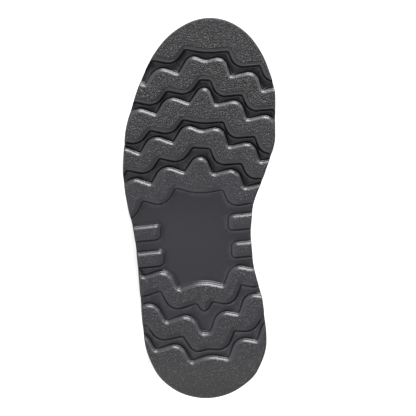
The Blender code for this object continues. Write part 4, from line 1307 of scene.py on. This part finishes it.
def eyestay_grid(side):
    start = way_of_top(x=EYESTAY_START)
    end = COLLAR - EYESTAY_END
    grid = []
    for share in np.linspace(0.0, 1.0, 61):
        way = start + (end - start) * share
        edge = float(throat_half(way)) + EYESTAY_EDGE
        width = EYESTAY_WIDTH * math.sqrt(1 - EYESTAY_NARROWING * max(0.0, 1 - share / EYESTAY_CORNER) ** 2)
        turns = strip_turns(way, edge, width, 15, side)
        grid.append(upper_point(np.full(len(turns), way), turns, side))
    return np.array(grid)


def counter_grid():
    """Heel overlay: level cuts round the heel, shorter toward its top."""
    grid = []
    base = seat_height(HEEL_X) + COUNTER_GAP
    for level in np.linspace(0.0, 1.0, 31):
        row = []
        for turn in np.linspace(-1.0, 1.0, 91):
            side = 0 if turn < 0 else 1
            z_back = base + level * (COUNTER_BACK - base)
            front = COUNTER_FRONT - COUNTER_SWEEP * level**COUNTER_CURVE
            x = back_x(z_back) + (front - back_x(z_back)) * turn * turn
            z = seat_height(x) + COUNTER_GAP + (z_back - base) * (1 - COUNTER_FALL * turn * turn)
            x = back_x(z) + (front - back_x(z)) * turn * turn
            row.append((x, axis_y(x) + (-1, 1)[side] * side_half(x, z, side), z))
        grid.append(row)
    return np.array(grid, float)


def tongue_grid():
    start = way_of_top(x=TONGUE_FRONT)
    end = way_of_top(z=SECTIONS[-2].top_z + TONGUE_RISE)
    way = np.linspace(start, end, 49)[:, None]
    half = np.minimum(TONGUE_HALF, TONGUE_FRONT_HALF + TONGUE_WIDENING * (TONGUE_FRONT - section_at(way)[2]))
    return front_point(way, half * np.linspace(-1.0, 1.0, 24))[0]


INSIDE = (130.0, 0.0, 40.0)
HEEL_INSIDE = (60.0, 0.0, 70.0)
STITCHES = []


def add_stitches(path, normals, thread):
    """Row of stitches along a path, each one a short thread that dips in at its ends."""
    pitch = thread.length + thread.gap
    length = line_length(path)
    count = int(length[-1] // pitch)
    for item in range(count):
        at = (item + 0.5) * length[-1] / count + np.linspace(-0.5, 0.5, 5) * thread.length
        lift = unit(along_line(normals, length, at))
        sink = np.array(STITCH_SINK) * thread.radius
        STITCHES.append((along_line(path, length, at) + lift * sink[:, None], lift, thread.radius))


def tube_points(path, lift, radius, sides=6):
    """Round thread along a path, thinner at its ends."""
    along = unit(np.gradient(path, axis=0))
    across = unit(np.cross(lift, along))
    above = np.cross(along, across)
    taper = np.ones(len(path))
    taper[[0, -1]] = STITCH_TAPER
    angle = np.linspace(0.0, 2 * math.pi, sides, endpoint=False)
    ring = np.cos(angle)[None, :, None] * across[:, None] + np.sin(angle)[None, :, None] * above[:, None]
    return path[:, None] + ring * (radius * taper)[:, None, None]


def loft_faces(count, size, start=0, closed=False):
    """Faces between rings of vertices that follow one another, and back to the first ring if closed."""
    rings = [list(range(first, first + size)) for first in range(start, start + count * size, size)]
    faces = []
    for low, high in zip(rings, rings[1:] + rings[:1] * closed):
        faces += zip(low, high, high[1:] + high[:1], low[1:] + low[:1])
    return faces


def tube_faces(count, size, start=0):
    """Faces of a tube with flat ends."""
    last = start + (count - 1) * size
    ends = [tuple(range(start, start + size)), tuple(range(last, last + size))[::-1]]
    return ends + loft_faces(count, size, start)


def build_stitches(material):
    points, faces = [], []
    count = 0
    for path, lift, radius in STITCHES:
        tube = tube_points(path, lift, radius)
        faces += tube_faces(len(path), tube.shape[1], count)
        points.append(tube.reshape(-1, 3))
        count += tube.shape[0] * tube.shape[1]
    piece = add_piece("stitching", np.concatenate(points), faces, [material])


def sheet_path(grid, normals, rows, columns, height):
    """Path over a sheet from shares of its length and width, lifted to its face."""
    spots = list(zip(rows, columns))
    base, lift = (np.array([resample_grid(source, [row], [item])[0, 0] for row, item in spots])
                  for source in (grid, normals))
    lift = unit(lift)
    return base + lift * height, lift


def u_path(start, top, margin, up_count, across_count):
    """Shares of a sheet's length and width up one side, across the top and down the other side."""
    up = np.linspace(start, top, up_count)
    side = np.full(up_count, margin)
    rows = np.concatenate([up, np.full(across_count, top), up[::-1]])
    return rows, np.concatenate([side, np.linspace(margin, 1 - margin, across_count), 1 - side])


def build_eyestays(leather):
    low, high = 0.0, OVERLAY_LIFT + EYESTAY_THICKNESS
    for side, label in enumerate(("lateral", "medial")):
        grid = eyestay_grid(side)
        normals = grid_normals(grid, INSIDE)
        piece = build_sheet(f"eyestay_leather_{label}", grid, normals, low, high, [leather])
        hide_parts(f"eyestay_{label}")
        shares = np.linspace(0.02, 0.985, 120)
        outer = EYESTAY_WIDTH - STITCH_INSET
        for inset in (STITCH_INSET, outer, outer - STITCH_ROW_GAP):
            across = np.full(len(shares), inset / EYESTAY_WIDTH)
            add_stitches(*sheet_path(grid, normals, shares, across, high), FINE_THREAD)


def build_counter(leather):
    grid = counter_grid()
    normals = grid_normals(grid, HEEL_INSIDE)
    high = OVERLAY_LIFT + COUNTER_THICKNESS
    piece = build_sheet("heel_counter_leather", grid, normals, 0.0, high, [leather])
    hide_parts("heel_counter")
    height = COUNTER_BACK - seat_height(HEEL_X)
    for inset in (STITCH_INSET, STITCH_INSET + STITCH_ROW_GAP):
        shares = u_path(0.03, 1 - inset / height, inset / (2.2 * COUNTER_FRONT), 40, 120)
        add_stitches(*sheet_path(grid, normals, *shares, high), FINE_THREAD)


def build_tongue(leather):
    grid = tongue_grid()
    normals = grid_normals(grid, INSIDE)
    high = -(WALL + TONGUE_DROP)
    low = high - TONGUE_THICKNESS
    piece = build_sheet("tongue_leather", grid, normals, low, high, [leather], rounding=1.1)
    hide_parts("tongue")
    add_stitches(*sheet_path(grid, normals, *u_path(*TONGUE_ROW, 60, 40), high), FINE_THREAD)


def sweep(name, path, normals, profile, materials):
    """Strip: a closed profile of (across, out) points carried along a path on the upper."""
    along = unit(np.gradient(path, axis=0))
    across = unit(np.cross(normals, along))
    grid = np.stack([path + across * side + normals * out for side, out in profile], axis=1)
    count, size = grid.shape[:2]
    return add_piece(name, grid.reshape(-1, 3), tube_faces(count, size), materials)


def mirrored(side, middle):
    """Profile from its inner half, out from the middle, and the height in the middle."""
    return [(-across, out) for across, out in side] + [(0.0, middle)] + side[::-1]


def build_moc_seam(leather):
    """Two edges of leather that stand up side by side, sewn through with thick thread."""
    path, normals = seam_line(241)
    side = [(across * SEAM_HALF, out * SEAM_TOP) for across, out in SEAM_SIDE]
    profile = mirrored([(SEAM_HALF, SEAM_BASE), (SEAM_HALF, SEAM_FOOT), *side], SEAM_NOTCH * SEAM_TOP)
    piece = sweep("moc_seam_leather", path, normals, profile, [leather])
    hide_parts("moc_seam")
    length = line_length(path)
    across = unit(np.cross(normals, unit(np.gradient(path, axis=0)))) * SEAM_HALF
    above = normals * (SEAM_TOP + SEAM_WRAP_LIFT)
    wrap = mirrored(list(SEAM_WRAP), 1.0)
    for at in np.arange(SEAM_PITCH, length[-1] - SEAM_PITCH / 2, SEAM_PITCH):
        item = int(np.searchsorted(length, at))
        line = np.array([path[item] + across[item] * reach + above[item] * out for reach, out in wrap])
        STITCHES.append((line, np.repeat(normals[item][None], len(line), axis=0), SEAM_THREAD))


def round_the_back(lines):
    """One line of points and normals from the two sides' lines, which meet in the middle of the back."""
    points = np.concatenate([lines[0][0], lines[1][0][-2::-1]])
    normals = unit(np.concatenate([lines[0][1], lines[1][1][-2::-1]]))
    middle = len(lines[0][0]) - 1
    normals[middle] = unit(normals[middle - 1] + normals[middle + 1])
    return points, normals


def build_binding(leather):
    """Rolled leather edge round the collar."""
    down = np.linspace(0.02, 1.0, 70)
    lines = []
    for side in (0, 1):
        way = np.full(len(down), COLLAR)
        point = skin_point(way, down, side)
        normal = skin_normal(way, down, side)
        lines.append((point - normal * WALL / 2, normal))
    path, normals = round_the_back(lines)
    angle = np.linspace(0.0, 2 * math.pi, 14, endpoint=False)
    wide = BINDING_STRETCH * BINDING_RADIUS
    profile = [(wide * math.cos(a) - BINDING_SHIFT, BINDING_RADIUS * math.sin(a)) for a in angle]
    piece = sweep("collar_binding", path, normals, profile, [leather])
    for drop in (COLLAR_BAND, COLLAR_BAND + STITCH_ROW_GAP):
        lines = []
        for side in (0, 1):
            level = COLLAR - drop / BACK_ANGLE_STEP
            edge = float(throat_half(level))
            first = float(turn_at(level, edge, side))
            last = strip_turns(level, edge + EYESTAY_EDGE, EYESTAY_WIDTH, 2, side)[-1]
            place = np.linspace(SHOULDER_TURN * (last - first) / (SHOULDER_TURN - first), 1.0, 80)
            way = np.full(len(place), level)
            normal = skin_normal(way, place, side)
            lines.append((skin_point(way, place, side) - normal * COLLAR_SINK, normal))
        add_stitches(*round_the_back(lines), FINE_THREAD)


def quarter_stitches():
    for side in (0, 1):
        for row in range(2):
            place = np.linspace(0.10, 0.985, 90)
            way = quarter_seam(place) + (STITCH_INSET + row * STITCH_ROW_GAP) / FOOT_ANGLE_STEP
            normal = skin_normal(way, place, side)
            add_stitches(skin_point(way, place, side) + normal * 0.1, normal, FINE_THREAD)


def welt_loop(share, extra, lift):
    """Loop round the welt at a share of its width, from its outer edge in."""

    def inset(x):
        return flare_at(x) + WELT_SETBACK + extra + share * (feather_inset(x) - flare_at(x) - WELT_TUCK)

    loop = outline_loop(inset, WELT_STATIONS)
    return np.column_stack([loop, seat_height(loop[:, 0]) + lift])


def build_welt(leather):
    """Welt strip with a rounded edge and a row of heavy stitches in a shallow channel."""
    loops = [welt_loop(*row) for row in WELT_PROFILE]
    faces = loft_faces(len(loops), len(loops[0]), closed=True)
    piece = add_piece("welt_leather", np.concatenate(loops), faces, [leather])
    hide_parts("welt")
    channel = welt_loop(WELT_CHANNEL, 0.0, WELT_TOP - WELT_STITCH_SINK)
    channel = np.concatenate([channel, channel[:1]])
    add_stitches(channel, np.tile([0.0, 0.0, 1.0], (len(channel), 1)), WELT_THREAD)


def eyelet_ways():
    """Travel coordinates of the pairs of eyelets, evenly along the throat."""
    ways = np.linspace(way_of_top(x=EYELET_START), way_of_top(z=SECTIONS[-2].top_z - EYELET_DROP), 60)
    length = line_length(np.stack(section_at(ways)[2:4], axis=1))
    return np.interp(np.linspace(0.0, length[-1], EYELET_PAIRS), length, ways)


def build_eyelets(metal):
    """Rolled eyelets, each with a barrel through the eyestay."""
    inner, outer = EYELET_RING - EYELET_TUBE, EYELET_RING + EYELET_TUBE
    arc = np.linspace(0.0, math.pi, 9)
    roll = [(EYELET_RING - EYELET_TUBE * math.cos(a), EYELET_TUBE * math.sin(a)) for a in arc]
    floor = EYELET_FACE - EYELET_LIFT
    profile = [(inner, floor - 1.2), *roll, (outer, floor + 0.35), (outer + 0.25, floor),
               (outer + 0.2, floor - 0.3), (inner + 0.35, floor - 1.2)]
    faces = loft_faces(EYELET_STEPS, len(profile), closed=True)
    for row, way in enumerate(eyelet_ways(), start=1):
        for label, sign in (("lateral", -1), ("medial", 1)):
            point, normal = front_point(way, sign * (throat_half(way) + EYELET_EDGE))
            turn = Vector((0, 0, 1)).rotation_difference(Vector(normal)).to_matrix()
            across, above = np.array(turn.col[0]), np.array(turn.col[1])
            points = []
            for angle in np.linspace(0.0, 2 * math.pi, EYELET_STEPS, endpoint=False):
                out = across * math.cos(angle) + above * math.sin(angle)
                points += [point + out * radius + normal * (EYELET_LIFT + lift) for radius, lift in profile]
            piece = add_piece(f"eyelet_metal_{label}_{row}", np.array(points), faces, [metal])
            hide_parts(f"eyelet_{label}_{row}")


def lace_side(ways, sign, lift):
    """Half of the lace from the lowest pair up to the top pair: travel coordinate, offset and height."""
    stops = []
    for low, high in zip(ways, ways[1:]):
        edge, next_edge = throat_half(low), throat_half(high)
        hole = edge + EYELET_EDGE
        stops += [(low, sign * hole, LACE_OVER - LACE_DIP), (low, sign * hole, 0.0)]
        stops += [(low, sign * offset, LACE_UNDER) for offset in (hole - LACE_TURN, edge + LACE_HIDDEN)]
        start = edge - LACE_HIDDEN
        span = start + next_edge + EYELET_EDGE
        crossing = start / span
        brow = (start + next_edge + LACE_BROW_LEAD) / span
        shares = (LACE_SHARES[0], crossing - LACE_REST, crossing + LACE_REST, brow, LACE_SHARES[1])
        resting = LACE_ON_TONGUE + lift
        heights = (LACE_UNDER, resting, resting, LACE_BROW, LACE_OVER)
        for share in np.linspace(*LACE_SHARES, LACE_STOPS):
            height = np.interp(share, shares, heights)
            stops.append((low + (high - low) * share, sign * (start - span * share), height))
        sign = -sign
    hole = sign * (throat_half(ways[-1]) + EYELET_EDGE)
    return stops + [(ways[-1], hole, height) for height in (LACE_OVER - LACE_DIP, 0.0, LACE_UNDER)]


def lace_route():
    """Points and normals of the lace: from the top eyelet down one side, across, and back up the other."""
    ways = eyelet_ways()
    edge = throat_half(ways[0])
    reach = edge + EYELET_EDGE - LACE_BAR_INSET
    offsets = np.linspace(-reach, reach, LACE_STOPS)
    heights = np.interp(np.abs(offsets), (0.0, edge, reach), (LACE_BROW - LACE_SAG, LACE_BROW, LACE_OVER))
    bar = [(ways[0], offset, height) for offset, height in zip(offsets, heights)]
    stops = lace_side(ways, -1, LACE_CROSSING)[::-1] + bar + lace_side(ways, 1, 0.0)
    way, offset, height = np.array(stops, float).T
    points, normals = front_point(way, np.where(np.abs(offset) > LEAST_OFFSET, offset, LEAST_OFFSET))
    return points + normals * height[:, None], unit(normals)


def smooth_line(points, spacing):
    """Even points along a smooth curve through the given points."""
    ends = np.concatenate([2 * points[:1] - points[1:2], points, 2 * points[-1:] - points[-2:-1]])
    line = []
    for a, b, c, d in zip(ends, ends[1:], ends[2:], ends[3:]):
        for share in np.linspace(0.0, 1.0, 8, endpoint=False):
            square, cube = share**2, share**3
            line.append(0.5 * (2 * b + (c - a) * share + (2 * a - 5 * b + 4 * c - d) * square
                               + (3 * b - a - 3 * c + d) * cube))
    return resampled(np.array(line + [points[-1]]), spacing)


def steady_across(along, wanted):
    """Direction across the lace at each point, carried from its middle to both ends without a twist."""
    across = np.empty_like(along)
    middle = len(along) // 2
    for run in (range(middle, len(along)), range(middle, -1, -1)):
        held = unit(wanted[middle])
        for item in run:
            held = held - along[item] * held.dot(along[item])
            hint = wanted[item] * np.sign(wanted[item].dot(held) or 1.0)
            weight = LACE_STEER * min(1.0, np.linalg.norm(wanted[item])) ** 2
            held = unit(held * (1 - weight) + hint * weight)
            across[item] = held
    return across


def build_lace(material):
    """Flat woven lace, one length through all the eyelets, with its ends hidden under the top pair."""
    points, normals = lace_route()
    line = smooth_line(np.concatenate([points, LACE_NORMAL_LENGTH * normals], axis=1), LACE_SPACING)
    path, normals = line[:, :3], unit(line[:, 3:])
    along = unit(np.gradient(path, axis=0))
    across = steady_across(along, np.cross(normals, along))
    above = np.cross(along, across)
    angle = np.linspace(0.0, 2 * math.pi, 14, endpoint=False)
    wide = np.sign(np.cos(angle)) * np.abs(np.cos(angle)) ** LACE_SQUARENESS[0] * LACE_WIDTH / 2
    thick = np.sign(np.sin(angle)) * np.abs(np.sin(angle)) ** LACE_SQUARENESS[1] * LACE_THICKNESS / 2
    slope = np.abs((along * normals).sum(axis=1))
    narrow = 1 - LACE_PINCH * ramp(slope, *LACE_STEEP)
    ring = across[:, None] * (wide[None] * narrow[:, None])[..., None] + above[:, None] * thick[None, :, None]
    tube = path[:, None] + ring
    piece = add_piece("lace", tube.reshape(-1, 3), tube_faces(len(path), len(angle)), [material])
    add_values(piece, "along", np.repeat(line_length(path), len(angle)))
    add_values(piece, "across", np.tile(wide, len(path)))
    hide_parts("laces")


# Camera, light and floor

WHITE = (1.0, 1.0, 1.0)
FLOOR_RADIUS = 8.0
FLOOR_GREY = (0.4, 0.4, 0.4)
FLOOR_GLOW = 0.88
WORLD_SIDES = (-0.85, 0.0)
WORLD_STRENGTHS = (0.22, 1.05)
LIGHTS = table(
    "name place size power",
    ("toe_light", (-3.5, -0.73, 1.19), (1.0, 2.2), 172.0),
    ("front_light", (0.75, -1.5, 0.4), (0.5, 0.5), 4.6),
    ("side_light", (-1.6, -0.9, 2.65), (1.0, 1.0), 22.0),
)


def aim(thing, place, target, up=Vector((0.0, 0.0, 1.0))):
    """Put a camera or light at a place, facing a target."""
    back = (Vector(place) - Vector(target)).normalized()
    right = up.cross(back).normalized()
    above = back.cross(right)
    turn = Matrix((right, above, back)).transposed().to_4x4()
    thing.matrix_world = Matrix.Translation(place) @ turn


def add_camera():
    data = bpy.data.cameras.new("camera")
    data.sensor_width = SENSOR_WIDTH
    data.lens = SENSOR_WIDTH * VIEW_DISTANCE / VIEW_WIDTH
    data.clip_end = 50.0
    camera = bpy.data.objects.new("camera", data)
    bpy.context.scene.collection.objects.link(camera)
    centre = Vector(VIEW_CENTRE)
    place = POSE @ ((centre - Vector((0.0, 0.0, VIEW_DISTANCE))) * MM)
    toe_way = POSE.to_3x3() @ Vector((1.0, 0.0, 0.0))
    aim(camera, place, POSE @ (centre * MM), toe_way)
    bpy.context.scene.camera = camera


def add_light(lamp):
    """Area light that faces the middle of the sole."""
    data = bpy.data.lights.new(lamp.name, "AREA")
    data.shape = "RECTANGLE"
    data.size, data.size_y = lamp.size
    data.energy = lamp.power
    light = bpy.data.objects.new(lamp.name, data)
    bpy.context.scene.collection.objects.link(light)
    aim(light, Vector(lamp.place), POSE @ (Vector(VIEW_CENTRE) * MM))


def add_floor():
    work = bmesh.new()
    bmesh.ops.create_circle(work, cap_ends=True, radius=FLOOR_RADIUS, segments=96)
    mesh = bpy.data.meshes.new("floor")
    work.to_mesh(mesh)
    work.free()
    look = Look("floor", FLOOR_GREY, 0.9, Emission_Color=WHITE, Emission_Strength=FLOOR_GLOW)
    mesh.materials.append(look.material)
    floor = bpy.data.objects.new("floor", mesh)
    bpy.context.scene.collection.objects.link(floor)


def add_world():
    """White studio, dimmer on the side that the sole faces."""
    world = bpy.data.worlds.new("studio")
    bpy.context.scene.world = world
    world.use_nodes = True
    nodes = Nodes(world.node_tree)
    background = nodes.tree.nodes["Background"]
    way = nodes.add("ShaderNodeTexCoord", {}).outputs["Generated"]
    split = nodes.add("ShaderNodeSeparateXYZ", {}, way)
    nodes.put(nodes.spread(split.outputs["Y"], *WORLD_SIDES, *WORLD_STRENGTHS), background.inputs["Strength"])
    nodes.put(WHITE, background.inputs["Color"])


add_camera()
add_floor()
add_world()
for lamp in LIGHTS:
    add_light(lamp)
bpy.context.scene.view_settings.view_transform = "Standard"

leather = leather_material()
lining = lining_material()
build_outsole()
build_upper(leather, lining)
build_tongue(leather)
build_eyestays(leather)
build_counter(leather)
build_moc_seam(leather)
build_binding(leather)
quarter_stitches()
build_welt(welt_material())
build_eyelets(metal_material())
build_lace(lace_material())
build_stitches(thread_material())
insole = frame["nodes"]["insole"]
insole.data.materials.clear()
insole.data.materials.append(lining)
